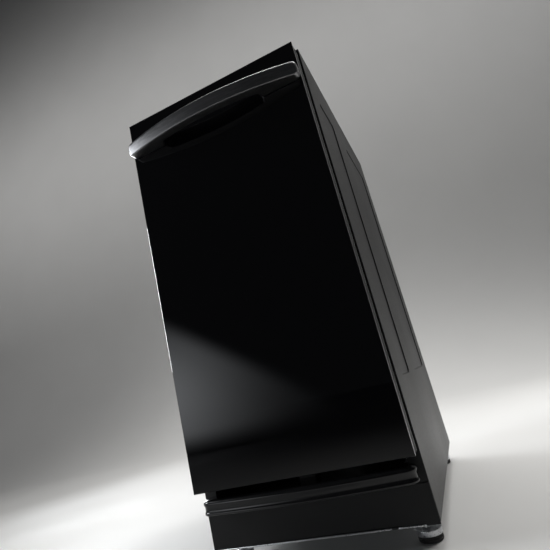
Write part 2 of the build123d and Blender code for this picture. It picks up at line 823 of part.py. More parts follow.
# The ram is a hollow column welded into a shallow pan, the face that presses the waste.
ram_bottom = head_bottom - column_height - ram_wall
with BuildPart() as ram:
    with BuildSketch(Plane.XY.offset(ram_bottom)):
        with Locations((0, screw_y)):
            RectangleRounded(ram_width, ram_depth, 14)
    extrude(amount=ram_rim)
    fillet(ram.faces().sort_by(Axis.Z)[0].edges(), 2.5)
    with BuildSketch(Plane.XY.offset(ram_bottom + ram_wall)):
        with Locations((0, screw_y)):
            RectangleRounded(ram_width - 2 * ram_wall, ram_depth - 2 * ram_wall, 14 - ram_wall)
    extrude(amount=ram_rim, mode=Mode.SUBTRACT)
    with BuildSketch(Plane.XY.offset(ram_bottom + ram_wall)):
        with Locations((0, screw_y)):
            RectangleRounded(column_width, column_depth, 10)
            RectangleRounded(
                column_width - 2 * ram_wall, column_depth - 2 * ram_wall, 7, mode=Mode.SUBTRACT
            )
    extrude(amount=column_height - ram_wall)
    with BuildSketch(Plane.XY.offset(head_bottom - ram_wall)):
        with Locations((0, screw_y)):
            RectangleRounded(column_width, column_depth, 10)
    extrude(amount=ram_wall)
write(ram, "ram")


# ------------------------------------------------------------------ chain and sprockets
def ring_of_points(outline, count, first_angle):
    """Repeats a list of (radius, angle) round a centre, count times."""
    points = []
    for index in range(count):
        turn = first_angle + index * 2 * pi / count
        for radius, angle in outline:
            points.append((radius * cos(turn + angle), radius * sin(turn + angle)))
    return points


def sprocket(x, y, first_gap, label):
    """A chain wheel with its hub. first_gap is the angle of one gap between its teeth."""
    root = sprocket_radius - 2.7
    tip = sprocket_radius + 2.6
    half_gap = radians(5.5)
    half_tooth = pi / sprocket_teeth - radians(2.2)
    profile = [(tip, -half_tooth), (root, -half_gap), (root, half_gap), (tip, half_tooth)]
    with BuildPart() as wheel:
        with BuildSketch(Plane.XY.offset(hub_z[0])):
            with Locations((x, y)):
                Polygon(*ring_of_points(profile, sprocket_teeth, first_gap), align=None)
        extrude(amount=sprocket_thickness)
        disc(x, y, hub_z, journal_radius + 5)
        disc(x, y, hub_z, journal_radius, mode=Mode.SUBTRACT)
    write(wheel, label)


# The loop runs along the front from left to right, round the right screw, back to the drive
# shaft and forward to the left screw. Its rollers stand every pitch from the right screw's
# front, and each sprocket is turned so that its gaps meet them.
side_angle = atan2(screw_x, drive_y - screw_y)
front_links = ceil(2 * screw_x / chain_pitch)
left_gap = -pi / 2 - (front_links * chain_pitch - 2 * screw_x) / sprocket_radius
drive_start = sprocket_radius * (pi / 2 + side_angle) + side_run
drive_links = ceil(drive_start / chain_pitch)
drive_gap = side_angle + (drive_links * chain_pitch - drive_start) / sprocket_radius
sprocket(screw_x, screw_y, -pi / 2, "right_sprocket")
sprocket(-screw_x, screw_y, left_gap, "left_sprocket")
sprocket(0, drive_y, drive_gap, "drive_sprocket")

chain_centres = [(-screw_x, screw_y), (screw_x, screw_y), (0, drive_y)]
with BuildPart() as drive_chain:
    low = sprocket_z - sprocket_thickness / 2 - link_gap - link_plate
    high = sprocket_z + sprocket_thickness / 2 + link_gap
    for z0 in (low, high):
        for radius, mode in (
            (sprocket_radius + link_half_width, Mode.ADD),
            (sprocket_radius - link_half_width, Mode.SUBTRACT),
        ):
            with BuildSketch(Plane.XY.offset(z0)):
                with Locations(*chain_centres):
                    Circle(radius)
                make_hull()
            extrude(amount=link_plate, mode=mode)
write(drive_chain, "drive_chain")


# ------------------------------------------------------------------ gears and motor
def spur_gear(teeth, middle_tooth):
    """The outline of a spur gear with 20 degree involute flanks, one tooth at middle_tooth."""
    pitch_radius = gear_module * teeth / 2
    base = pitch_radius * cos(radians(20))
    root = pitch_radius - 1.25 * gear_module
    tip = pitch_radius + 0.85 * gear_module
    pitch_half = (pi * gear_module - gear_backlash) / (4 * pitch_radius)
    involute = tan(radians(20)) - radians(20)
    flank = []
    for step in range(5):
        radius = max(base, root) + (tip - max(base, root)) * step / 4
        pressure = acos(min(1, base / radius))
        flank.append((radius, pitch_half + involute - (tan(pressure) - pressure)))
    if root < base:
        flank.insert(0, (root, flank[0][1]))
    outline = [(radius, -angle) for radius, angle in flank] + flank[::-1]
    return ring_of_points(outline, teeth, middle_tooth)


mesh_angle = atan2(motor_y - drive_y, motor_x)
with BuildPart() as drive_gear:
    with BuildSketch(Plane.XY.offset(gear_bottom)):
        with Locations((0, drive_y)):
            Polygon(*spur_gear(gear_teeth, mesh_angle), align=None)
    extrude(amount=gear_thickness)
    disc(0, drive_y, (gear_bottom, gear_top), journal_radius, mode=Mode.SUBTRACT)
write(drive_gear, "drive_gear")

with BuildPart() as drive_shaft:
    disc(0, drive_y, (pan_top + 1, plate_z[0] - 1), journal_radius)
write(drive_shaft, "drive_shaft")

pinion_tooth = mesh_angle + pi + pi / pinion_teeth
with BuildPart() as motor_pinion:
    with BuildSketch(Plane.XY.offset(gear_bottom - 1)):
        with Locations((motor_x, motor_y)):
            Polygon(*spur_gear(pinion_teeth, pinion_tooth), align=None)
    extrude(amount=gear_thickness + 2)
    disc(motor_x, motor_y, (gear_bottom, bracket_top + 40), motor_shaft)
write(motor_pinion, "motor_pinion")

with BuildPart() as motor:
    disc(motor_x, motor_y, (bracket_top, bracket_top + motor_height), motor_radius)
    fillet(motor.edges().filter_by(GeomType.CIRCLE), 5)
    disc(
        motor_x,
        motor_y,
        (bracket_top, bracket_top + 42),
        motor_shaft + run_clearance,
        mode=Mode.SUBTRACT,
    )
write(motor, "motor")

bracket_x = (bracket_left, motor_x + motor_radius + 8)
bracket_y = (depth(bracket_front), depth(bracket_back))
with BuildPart() as motor_bracket:
    block(bracket_x, bracket_y, plate_z)
    block((bracket_x[0], bracket_x[0] + plate), bracket_y, (pan_top, plate_z[0]))
    block((bracket_x[1] - plate, bracket_x[1]), bracket_y, (pan_top, plate_z[0]))
    disc(motor_x, motor_y, plate_z, motor_shaft + 4, mode=Mode.SUBTRACT)
write(motor_bracket, "motor_bracket")

# ------------------------------------------------------------------ toe pedal
pedal_top = pedal_bottom + pedal_height
with BuildPart() as toe_pedal:
    with BuildSketch(Plane.XY.offset(pedal_bottom)) as outline:
        with BuildLine():
            ThreePointArc(
                (-pedal_half, depth(pedal_end)), (0, depth(-pedal_reach)), (pedal_half, depth(pedal_end))
            )
            Polyline(
                (pedal_half, depth(pedal_end)),
                (pedal_half, depth(door_depth - 3)),
                (-pedal_half, depth(door_depth - 3)),
                (-pedal_half, depth(pedal_end)),
            )
        make_face()
        fillet(outline.vertices().group_by(Axis.Y)[0], pedal_corner)
    extrude(amount=pedal_height)
    with BuildSketch(Plane.XY.offset(pedal_bottom)):
        add(outline.sketch)
        offset(amount=-pedal_wall)
    extrude(amount=pedal_height - pedal_wall, mode=Mode.SUBTRACT)
    block(
        (-pedal_half, pedal_half),
        (depth(pedal_lip_back), depth(door_depth)),
        (pedal_bottom, pedal_top - pedal_wall),
        mode=Mode.SUBTRACT,
    )
    block(
        (-tread_half, tread_half),
        (depth(pedal_lip_back), depth(tread_back)),
        (pedal_top - pedal_wall, pedal_top),
    )
    for side in (-1, 1):
        x0 = side * arm_x - arm_width / 2
        span = (x0, x0 + arm_width)
        block(span, (depth(20), depth(pivot_depth)), (pivot_z - 6, pedal_top - pedal_wall))
        pin(span, depth(pivot_depth), pivot_z, hub_radius)
        pin(span, depth(pivot_depth), pivot_z, pivot_radius + run_clearance, mode=Mode.SUBTRACT)
write(toe_pedal, "toe_pedal")

with BuildPart() as pedal_rod:
    pin((-ear_outer - 2, ear_outer + 2), depth(pivot_depth), pivot_z, pivot_radius)
    for side in (-1, 1):
        ends = (side * ear_outer, side * (ear_outer + 2))
        pin((min(ends), max(ends)), depth(pivot_depth), pivot_z, pivot_radius + 2)
write(pedal_rod, "pedal_rod")

# A torsion spring round the rod lifts the pedal: one leg stands on the base pan.
spring_radius = 8.0
wire_radius = 1.1
spring_turns = 5
spring_pitch = 3.2
spring_x = -90.0
with BuildPart() as pedal_spring:
    with BuildLine():
        coil = Helix(
            spring_pitch,
            spring_pitch * spring_turns,
            spring_radius,
            center=(spring_x, depth(pivot_depth), pivot_z),
            direction=(1, 0, 0),
        )
    with BuildSketch(Plane(origin=coil @ 0, z_dir=coil % 0)):
        Circle(wire_radius)
    sweep(path=coil, is_frenet=True)
    leg_y = depth(pivot_depth) - spring_radius
    disc(spring_x + spring_pitch / 4, leg_y, (pan_top, pivot_z), wire_radius)
write(pedal_spring, "pedal_spring")

tray_under = container_bottom - tray_wall
with BuildPart() as catch_magnet:
    block(
        (-magnet_width / 2, magnet_width / 2),
        (depth(magnet_depth - magnet_length / 2), depth(magnet_depth + magnet_length / 2)),
        (pedal_top, tray_under - gap),
    )
    fillet(catch_magnet.edges().filter_by(Axis.Z), 3)
write(catch_magnet, "catch_magnet")

# ------------------------------------------------------------------ fasteners
with BuildPart() as cabinet_fasteners:
    for side in (-1, 1):
        y0 = depth(roller_depth)
        head = front_roller_x[0] - seat_clearance
        pin((side * (head - 1.5), side * head), y0, roller_z, axle_radius + 2)
        pin((side * head, side * (track_outer + 2)), y0, roller_z, axle_radius)
        sleeve = (side * (front_roller_x[1] + seat_clearance), side * track_inner)
        pin(sleeve, y0, roller_z, axle_radius + 1.5)
        pin((side * track_outer, side * (track_outer + 2)), y0, roller_z, axle_radius + 2)
        for way in (-1, 1):
            outer = screw_y + way * upright_half
            bolt(side * bolt_x, (outer, outer + way * 3), bolt_z, bolt_radius + 2)
            bolt(side * bolt_x, (outer - way * 9, outer), bolt_z, bolt_radius)
write(cabinet_fasteners, "cabinet_fasteners")

with BuildPart() as drawer_fasteners:
    for side in (-1, 1):
        y0 = depth(drawer_roller_depth)
        z0 = drawer_roller_z
        head = rear_roller_x[1] + seat_clearance
        pin((side * head, side * (head + 1.5)), y0, z0, axle_radius + 2)
        pin((side * (rail_inner - 2), side * head), y0, z0, axle_radius)
        sleeve = (side * rail_outer, side * (rear_roller_x[0] - seat_clearance))
        pin(sleeve, y0, z0, axle_radius + 1.5)
        pin((side * (rail_inner - 2), side * rail_inner), y0, z0, axle_radius + 2)
    for x0, z0 in screw_places:
        seat = depth(glass_thickness + sheet)
        bolt(x0, (depth(-11), seat), z0, handle_screw_radius)
        bolt(x0, (seat, seat + 3), z0, handle_screw_radius + 2.5)
    for x0, z0 in rail_screws:
        seat = depth(liner_back)
        bolt(x0, (seat - 8, seat + rail_wall), z0, rail_screw_radius)
        bolt(x0, (seat + rail_wall, seat + rail_wall + 2.5), z0, rail_screw_radius + 2)
write(drawer_fasteners, "drawer_fasteners")
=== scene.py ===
import json
import bmesh
import bpy
import numpy as np
from mathutils import Matrix, Vector


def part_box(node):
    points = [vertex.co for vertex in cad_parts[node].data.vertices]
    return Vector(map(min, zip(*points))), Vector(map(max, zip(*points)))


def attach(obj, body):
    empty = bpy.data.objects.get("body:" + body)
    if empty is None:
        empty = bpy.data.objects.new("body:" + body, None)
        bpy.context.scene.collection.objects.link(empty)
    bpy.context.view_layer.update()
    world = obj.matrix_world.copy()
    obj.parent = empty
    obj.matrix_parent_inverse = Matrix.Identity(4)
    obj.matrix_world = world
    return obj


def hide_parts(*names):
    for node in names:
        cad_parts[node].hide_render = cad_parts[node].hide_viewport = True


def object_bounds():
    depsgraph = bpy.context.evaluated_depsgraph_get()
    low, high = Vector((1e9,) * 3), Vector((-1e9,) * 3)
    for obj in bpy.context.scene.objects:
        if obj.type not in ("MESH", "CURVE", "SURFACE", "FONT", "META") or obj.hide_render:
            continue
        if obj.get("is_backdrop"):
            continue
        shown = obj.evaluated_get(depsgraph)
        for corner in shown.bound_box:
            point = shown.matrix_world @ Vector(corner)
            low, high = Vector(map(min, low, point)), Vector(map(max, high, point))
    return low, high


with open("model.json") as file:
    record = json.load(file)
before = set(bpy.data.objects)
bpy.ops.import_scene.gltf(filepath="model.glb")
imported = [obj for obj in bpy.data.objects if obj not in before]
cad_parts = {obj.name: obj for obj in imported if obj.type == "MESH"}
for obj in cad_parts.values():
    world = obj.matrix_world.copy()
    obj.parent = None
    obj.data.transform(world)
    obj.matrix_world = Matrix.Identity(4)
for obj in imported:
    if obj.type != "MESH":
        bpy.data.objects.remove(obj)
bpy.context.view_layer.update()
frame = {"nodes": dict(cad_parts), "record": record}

# The looks of an under-counter trash compactor: black glass front, bowed steel handle, toe pedal.
nodes = frame["nodes"]
slotOf = {part["node"]: part["material_slot"] for part in frame["record"]["subparts"]}
scene = bpy.context.scene
scene.view_settings.view_transform = "Standard"
mm = 0.001
fullTurn = 2 * np.pi


# Camera
camera = {
    "place": (0.2902, -0.9639, 0.2637),
    "looking": (-0.3245, 0.9119, 0.2512),
    "roll": -13.94,  # degrees, clockwise
    "lens": 28.88,
}
eye = bpy.data.objects.new("mainCamera", bpy.data.cameras.new("mainCamera"))
eye.data.lens = camera["lens"]
eye.data.sensor_width = 36
eye.data.clip_start = 0.02
aim = Vector(camera["looking"]).to_track_quat("-Z", "Y").to_matrix().to_4x4()
tilt = Matrix.Rotation(np.radians(camera["roll"]), 4, "Z")
eye.matrix_world = Matrix.Translation(camera["place"]) @ aim @ tilt
scene.collection.objects.link(eye)
scene.camera = eye
print("camera set")


# Surfaces. A shell is its points, its four-sided faces and its three-sided ones.
def outward(points, quads, tris):
    # A closed shell's volume is a sixth of the sum of a . (b x c) over its triangles, and is
    # positive when they face out. If it isn't, every face is turned over.
    faces = np.concatenate([quads[:, [0, 1, 2]], quads[:, [0, 2, 3]], tris])
    a, b, c = (points - points.mean(axis=0))[faces].transpose(1, 0, 2)
    if np.einsum("ij,ij->", a, np.cross(b, c)) < 0:
        return points, quads[:, ::-1], tris[:, ::-1]
    return points, quads, tris


def loft(outlines, ends="fan"):
    # Point j of outline i is outlines[i, j], and each outline is joined to the next by quads.
    # ends: "fan" to the middle of the end outlines, "ribbon" between an outline's outer half and
    # its inner half, which runs back along it, or "ring" when the last outline joins the first.
    count, around = outlines.shape[:2]
    index = np.arange(count * around).reshape(count, around)
    onward = np.roll(index, -1, axis=1)
    quads = np.stack([index, onward, np.roll(onward, -1, 0), np.roll(index, -1, 0)], axis=-1)
    points = outlines.reshape(-1, 3)
    tris = np.empty((0, 3), int)
    if ends == "ring":
        return outward(points, quads.reshape(-1, 4), tris)
    quads = quads[:-1].reshape(-1, 4)
    if ends == "ribbon":
        j = np.arange(around // 2 - 1)
        strip = np.stack([j, around - 1 - j, around - 2 - j, j + 1], axis=-1)
        quads = np.concatenate([quads, strip, strip[:, ::-1] + index[-1, 0]])
        return outward(points, quads, tris)
    middle = np.full(around, len(points))
    tris = np.concatenate([
        np.stack([onward[0], index[0], middle], axis=-1),
        np.stack([index[-1], onward[-1], middle + 1], axis=-1),
    ])
    points = np.vstack([points, outlines[[0, -1]].mean(axis=1)])
    return outward(points, quads, tris)


def together(shells):
    # One shell out of several, with each one's face numbers moved past the points before it.
    starts = np.cumsum([0] + [len(shell[0]) for shell in shells[:-1]])
    points = np.concatenate([shell[0] for shell in shells])
    quads = np.concatenate([shell[1] + start for shell, start in zip(shells, starts)])
    tris = np.concatenate([shell[2] + start for shell, start in zip(shells, starts)])
    return points, quads, tris


def copies(shell, places, turns):
    # The shell turned by each angle about the vertical, then moved to each place.
    points, quads, tris = shell
    c, s = np.cos(turns)[:, None], np.sin(turns)[:, None]
    x, y, z = points.T
    turned = np.stack([c * x - s * y, s * x + c * y, z + 0 * c], axis=-1) + places[:, None]
    step = (np.arange(len(places)) * len(points))[:, None, None]
    return turned.reshape(-1, 3), (quads + step).reshape(-1, 4), (tris + step).reshape(-1, 3)


def roundedBox(low, high, radii, steps=6):
    # Flat outlines: four arcs, each about a point its radius in from both sides, anticlockwise
    # from the lower right corner. low and high are (n, 2), radii (n, 4).
    low, high, radii = (np.atleast_2d(np.asarray(v, float)) for v in (low, high, radii))
    signs = np.array([(1, -1), (1, 1), (-1, 1), (-1, -1)])
    corners = np.where(signs > 0, high[:, None], low[:, None])
    middles = corners - signs * radii[..., None]
    angles = np.radians([-90, 0, 90, 180])[:, None] + np.linspace(0, np.pi / 2, steps)
    arcs = np.stack([np.cos(angles), np.sin(angles)], axis=-1)
    return (middles[:, :, None] + radii[:, :, None, None] * arcs).reshape(len(low), -1, 2)


def turned(profile, middle, axis="z", count=32, ends="fan"):
    # Each (radius, distance along the axis) of the profile makes a circle about the axis.
    radius, along = np.asarray(profile, float).T
    angle = np.arange(count) * fullTurn / count
    across = radius[:, None] * np.cos(angle)
    up = radius[:, None] * np.sin(angle)
    along = along[:, None] + 0 * angle
    parts = {"z": (across, up, along), "x": (along, across, up), "y": (across, along, up)}
    return loft(np.stack(parts[axis], axis=-1) + np.asarray(middle), ends)


def thread(x, y, low, high, lead, root, crest, count):
    # A helical strip. Row k is the helix's k-th knee, so roots and crests follow the lead:
    # height = low + lead * (turn + knee + angle / full turn - 1), held between low and high,
    # where the radius drops to the root.
    knees = np.array([0, 0.34, 0.5, 0.84])
    turns = np.arange(int((high - low) / lead) + 3)
    start = (turns[:, None] + knees).reshape(-1, 1)
    radius = np.tile([root, root, crest, crest], len(turns))[:, None]
    angle = np.linspace(0, fullTurn, count + 1)
    height = low + lead * (start + angle / fullTurn - 1)
    radius = np.where((height <= low) | (height >= high), root, radius)
    height = np.clip(height, low, high)
    grid = np.stack([x + radius * np.cos(angle), y + radius * np.sin(angle), height], axis=-1)
    index = np.arange(grid.shape[0] * grid.shape[1]).reshape(grid.shape[:2])
    a, b, c, d = index[:-1, :-1], index[:-1, 1:], index[1:, 1:], index[1:, :-1]
    quads = np.stack([a, b, c, d], axis=-1).reshape(-1, 4)
    points = np.vstack([grid.reshape(-1, 3), [(x, y, low), (x, y, high)]])
    last = np.full(count, len(points) - 1)
    tris = np.concatenate([
        np.stack([index[0, 1:], index[0, :-1], last - 1], axis=-1),
        np.stack([index[-1, :-1], index[-1, 1:], last], axis=-1),
    ])
    return points, quads, tris


def makePiece(name, shells, body, slot, replaced=(), sharp=32, weld=False):
    # Writes the shells into one mesh, shades it smooth but for its sharp edges, and puts it on
    # its body with its slot's finish.
    points, quads, tris = together(shells)
    mesh = bpy.data.meshes.new(name)
    mesh.vertices.add(len(points))
    mesh.vertices.foreach_set("co", points.astype(np.float32).ravel())
    sizes = np.concatenate([np.full(len(quads), 4), np.full(len(tris), 3)])
    mesh.loops.add(int(sizes.sum()))
    mesh.loops.foreach_set("vertex_index", np.concatenate([quads.ravel(), tris.ravel()]))
    mesh.polygons.add(len(sizes))
    mesh.polygons.foreach_set("loop_start", np.cumsum(sizes) - sizes)
    mesh.update(calc_edges=True)
    if weld:
        work = bmesh.new()
        work.from_mesh(mesh)
        bmesh.ops.remove_doubles(work, verts=work.verts, dist=1e-6)
        work.to_mesh(mesh)
        work.free()
    mesh.validate()
    mesh.shade_smooth()
    mesh.set_sharp_from_angle(angle=np.radians(sharp))
    mesh.materials.append(finishes[slot])
    piece = bpy.data.objects.new(name, mesh)
    scene.collection.objects.link(piece)
    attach(piece, body)
    if replaced:
        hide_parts(*replaced)
    return piece


# Finishes
class Signal:
    # One output socket. Sums, differences, products and quotients of signals add Math nodes.
    def __init__(self, finish, socket):
        self.finish = finish
        self.socket = socket

    def reckon(self, operation, first, second):
        return self.finish.add("Math", {"operation": operation}, {0: first, 1: second})

    def __add__(self, other):
        return self.reckon("ADD", self, other)

    def __radd__(self, other):
        return self.reckon("ADD", other, self)

    def __sub__(self, other):
        return self.reckon("SUBTRACT", self, other)

    def __rsub__(self, other):
        return self.reckon("SUBTRACT", other, self)

    def __mul__(self, other):
        return self.reckon("MULTIPLY", self, other)

    def __rmul__(self, other):
        return self.reckon("MULTIPLY", other, self)

    def __truediv__(self, other):
        return self.reckon("DIVIDE", self, other)

    def __rtruediv__(self, other):
        return self.reckon("DIVIDE", other, self)


class Finish:
    # One material. Constants are set on the shader's own sockets, and what varies is linked.
    def __init__(self, name, constants):
        self.material = bpy.data.materials.new(name)
        self.material.use_nodes = True
        self.tree = self.material.node_tree
        self.shader = self.tree.nodes["Principled BSDF"]
        for socket, value in constants.items():
            self.feed(self.shader.inputs[socket], value)
        self.place = self.add("TexCoord", {}, {}, "Object")

    def feed(self, socket, value):
        if isinstance(value, Signal):
            self.tree.links.new(value.socket, socket)
        else:
            socket.default_value = value

    def add(self, kind, settings, sockets, output=0):
        node = self.tree.nodes.new("ShaderNode" + kind)
        for key, value in settings.items():
            if key == "stops":
                ramp = node.color_ramp.elements
                while len(ramp) < len(value):
                    ramp.new(1)
                for stop, (position, shade) in zip(ramp, value):
                    stop.position = position
                    stop.color = (shade, shade, shade, 1) if np.isscalar(shade) else (*shade, 1)
            else:
                setattr(node, key, value)
        for key, value in sockets.items():
            self.feed(node.inputs[key], value)
        return Signal(self, node.outputs[output])

    def scaled(self, stretch):
        return self.add("Mapping", {}, {"Vector": self.place, "Scale": stretch})

    def noise(self, scale, detail=3, roughness=0.5, stretch=None):
        place = self.scaled(stretch) if stretch else self.place
        return self.add("TexNoise", {}, {"Vector": place, "Scale": scale, "Detail": detail,
                                         "Roughness": roughness}, "Fac")

    def cells(self, scale, output, feature="F1"):
        return self.add("TexVoronoi", {"feature": feature},
                        {"Vector": self.place, "Scale": scale}, output)

    def along(self, axis):
        # How far the point lies along one axis.
        return self.add("SeparateXYZ", {}, {0: self.place}, "xyz".index(axis))

    def ramp(self, signal, stops):
        return self.add("ValToRGB", {"stops": stops}, {0: signal}, "Color")

    def spread(self, signal, low, high):
        # The signal's middle band, 0.3 to 0.7, stretched to run from low to high.
        return self.add("MapRange", {}, {0: signal, 1: 0.3, 2: 0.7, 3: low, 4: high})

    def blend(self, share, first, second):
        return self.add("Mix", {"data_type": "RGBA"}, {0: share, 6: first, 7: second}, 2)

    def finish(self, height=None, distance=0.0001, **driven):
        names = {"colour": "Base Color", "roughness": "Roughness", "metal": "Metallic"}
        for key, signal in driven.items():
            self.feed(self.shader.inputs[names[key]], signal)
        if height:
            bump = self.add("Bump", {}, {"Strength": 1, "Distance": distance, "Height": height})
            self.feed(self.shader.inputs["Normal"], bump)
        return self.material


def shade(colour, factor=1.0):
    return tuple(min(1.0, channel * factor) for channel in colour) + (1,)


finishes = {}
glassLook = {"colour": (0.0022, 0.0022, 0.0027), "smooth": 0.015, "smudged": 0.07}
f = Finish("blackGlass", {"IOR": 1.5, "Specular IOR Level": 0.5})
smudge = f.noise(3.2, 5, 0.6) * f.noise(23, 3, 0.5)
dust = f.ramp(f.noise(520, 2, 0.6), [(0.66, 0), (0.78, 1)])
tone = f.blend(dust * 0.22, shade(glassLook["colour"]), (0.03, 0.03, 0.032, 1))
rough = f.add("MapRange", {}, {0: smudge, 1: 0.15, 2: 0.45, 3: glassLook["smooth"],
                               4: glassLook["smudged"]})
finishes["black_glass"] = f.finish(colour=tone, roughness=rough)

handleLook = {"colour": (0.30, 0.30, 0.305), "roughness": (0.26, 0.42), "depth": 0.00002}
f = Finish("brushedSteel", {"Metallic": 1.0})
streaks = f.noise(1, 6, 0.72, (5, 900, 1500))
coarse = f.noise(1, 3, 0.5, (3, 160, 260))
wiped = f.noise(9, 3, 0.5)
tone = f.blend(f.spread(streaks * 0.6 + coarse * 0.4, 0, 1),
               shade(handleLook["colour"], 0.55), shade(handleLook["colour"], 1.2))
rough = f.spread(streaks * 0.6 + wiped * 0.4, *handleLook["roughness"])
finishes["brushed_handle"] = f.finish(streaks + coarse * 0.5, handleLook["depth"],
                                      colour=tone, roughness=rough)


def enamel(name, colour, roughness, coat=0.0, peel=260, depth=0.00002, wear=0.0, shine=0.5):
    # Paint: a slow drift of shade, orange peel, and thin scuffs that dull it.
    f = Finish(name, {"Coat Roughness": 0.05, "Coat Weight": coat, "Specular IOR Level": shine})
    drift = f.noise(4, 3, 0.5)
    fine = f.noise(peel, 2, 0.4)
    scuffs = f.ramp(f.noise(1, 4, 0.65, (30, 260, 190)), [(0.60, 0), (0.72, 1)])
    dull = f.ramp(f.noise(6, 4, 0.6), [(0.45, 0), (0.7, 1)])
    scuffed = scuffs * dull * wear
    tone = f.blend(f.spread(drift, 0, 1), shade(colour, 0.85), shade(colour, 1.15))
    pale = shade([0.5 * channel + 0.12 for channel in colour])
    tone = f.blend(scuffed, tone, pale)
    rough = f.spread(drift * 0.5 + fine * 0.5, roughness * 0.82, roughness * 1.2) + scuffed * 0.25
    return f.finish(fine, depth, colour=tone, roughness=rough)


finishes["gloss_black"] = enamel("glossBlackEnamel", (0.004, 0.004, 0.0044), 0.2, 0.15,
                                 210, 0.00003, 0.25, 0.4)
finishes["satin_black"] = enamel("satinBlackCoat", (0.0085, 0.0087, 0.009), 0.46, 0,
                                 900, 0.00003, 0.12, 0.3)
finishes["cabinet_black"] = enamel("cabinetBlackCoat", (0.008, 0.0082, 0.0086), 0.42, 0,
                                   620, 0.00003, 0.18, 0.3)
finishes["enamel_white"] = enamel("whiteEnamel", (0.72, 0.73, 0.72), 0.30, 0.2, 190, 0.00003, 0.3)
finishes["motor_enamel"] = enamel("motorEnamel", (0.07, 0.075, 0.08), 0.38, 0.1, 140, 0.0002, 0.4)


def metal(name, colour, roughness, speckle, depth, stain=0.0, stretch=None):
    # Bare or plated metal: fine speckle, slow stains that darken and roughen it.
    f = Finish(name, {"Metallic": 1.0})
    fine = f.noise(speckle, 4, 0.65, stretch)
    cloud = f.ramp(f.noise(14, 5, 0.6), [(0.42, 0), (0.66, 1)])
    tone = f.blend(f.spread(fine, 0, 1), shade(colour, 0.82), shade(colour, 1.12))
    tone = f.blend(cloud * stain, tone, shade([0.35 * channel for channel in colour]))
    rough = f.spread(fine, roughness * 0.8, roughness * 1.25) + cloud * (0.3 * stain)
    return f.finish(fine, depth, colour=tone, roughness=rough)


finishes["machined_steel"] = metal("machinedSteel", (0.46, 0.46, 0.47), 0.24, 1, 0.00001, 0.35,
                                   (40, 40, 2600))
finishes["chain_steel"] = metal("oiledDarkSteel", (0.13, 0.12, 0.11), 0.36, 600, 0.00003, 0.6)
finishes["bronze"] = metal("sinteredBronze", (0.55, 0.37, 0.17), 0.36, 1400, 0.00004, 0.3)
finishes["zinc"] = metal("zincPlate", (0.62, 0.63, 0.65), 0.27, 420, 0.00001, 0.22)
finishes["spring_steel"] = metal("springWire", (0.30, 0.30, 0.31), 0.28, 800, 0.00001, 0.35)

galvanisedLook = {"colour": (0.50, 0.52, 0.54), "spangles": 95}
f = Finish("galvanisedSheet", {"Metallic": 1.0})
crystal = f.add("SeparateColor", {}, {0: f.cells(galvanisedLook["spangles"], "Color")})
edges = f.ramp(f.cells(galvanisedLook["spangles"], "Distance", "DISTANCE_TO_EDGE"),
               [(0.0, 1), (0.05, 0)])
tone = f.blend(f.spread(crystal, 0, 1), shade(galvanisedLook["colour"], 0.75),
               shade(galvanisedLook["colour"], 1.1))
tone = f.blend(edges * 0.25, tone, shade(galvanisedLook["colour"], 0.5))
rough = crystal * 0.16 + f.noise(30, 3, 0.5) * 0.2 + 0.24
finishes["galvanised"] = f.finish(f.noise(160, 3, 0.5), 0.00002, colour=tone, roughness=rough)

ramLook = {"colour": (0.30, 0.31, 0.32), "bare": (0.42, 0.42, 0.43)}
f = Finish("ramEnamel", {})
drift = f.noise(5, 4, 0.5)
scrapes = f.ramp(f.noise(1, 5, 0.7, (160, 130, 9)), [(0.58, 0), (0.64, 1)])
patches = f.ramp(f.noise(11, 4, 0.6), [(0.5, 0), (0.62, 1)])
bare = scrapes * patches
tone = f.blend(f.spread(drift, 0, 1), shade(ramLook["colour"], 0.82), shade(ramLook["colour"], 1.1))
tone = f.blend(bare, tone, shade(ramLook["bare"]))
finishes["ram_enamel"] = f.finish(f.noise(240, 2, 0.4) - bare * 0.5, 0.00004, colour=tone,
                                  roughness=f.spread(drift, 0.34, 0.48), metal=bare)


def moulded(name, colour, roughness, grain, depth, coat=0.0):
    # Rubber or plastic: an even colour with a faint drift, and a moulded grain.
    f = Finish(name, {"Coat Weight": coat, "Coat Roughness": 0.08})
    drift = f.noise(18, 3, 0.5)
    fine = f.noise(grain, 3, 0.6)
    tone = f.blend(f.spread(drift, 0, 1), shade(colour, 0.86), shade(colour, 1.12))
    rough = f.spread(fine * 0.6 + drift * 0.4, roughness * 0.85, roughness * 1.15)
    return f.finish(fine, depth, colour=tone, roughness=rough)


finishes["foot_rubber"] = moulded("footRubber", (0.022, 0.022, 0.022), 0.72, 900, 0.00006)
finishes["black_plastic"] = moulded("blackPlastic", (0.008, 0.008, 0.0085), 0.5, 1300, 0.00004)
finishes["nylon"] = moulded("nylonRollers", (0.72, 0.71, 0.66), 0.38, 500, 0.00001)
finishes["start_green"] = moulded("greenButton", (0.03, 0.30, 0.10), 0.22, 300, 0.000005, 0.5)
finishes["stop_red"] = moulded("redButton", (0.55, 0.03, 0.025), 0.22, 300, 0.000005, 0.5)
print("finishes made:", len(finishes))

for name, node in nodes.items():
    finish = finishes[slotOf[name]]
    if not node.material_slots:
        node.data.materials.append(finish)
    for place in node.material_slots:
        place.material = finish


def corners(node):
    return [np.array(corner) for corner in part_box(node)]


glassY = corners("glass_panel")[0][1]

# Handle
handle = {
    "end": 17.5 * mm,  # how far its ends stand out
    "grip": 104 * mm,  # half the hand hole
    "slope": 7 * mm,
    "gripDepth": (15 * mm, 25 * mm),  # back of the grip at its ends and middle
    "corner": 9 * mm,  # its ends, seen from the front
    "roll": 9.5 * mm,  # upper front edge
    "bevel": 2.6 * mm,  # lower front edge
    "edge": 3.5 * mm,  # its ends, seen from above
    "stations": 260,
}
low, high = corners("handle")
half = high[0]
reach = glassY - low[1]
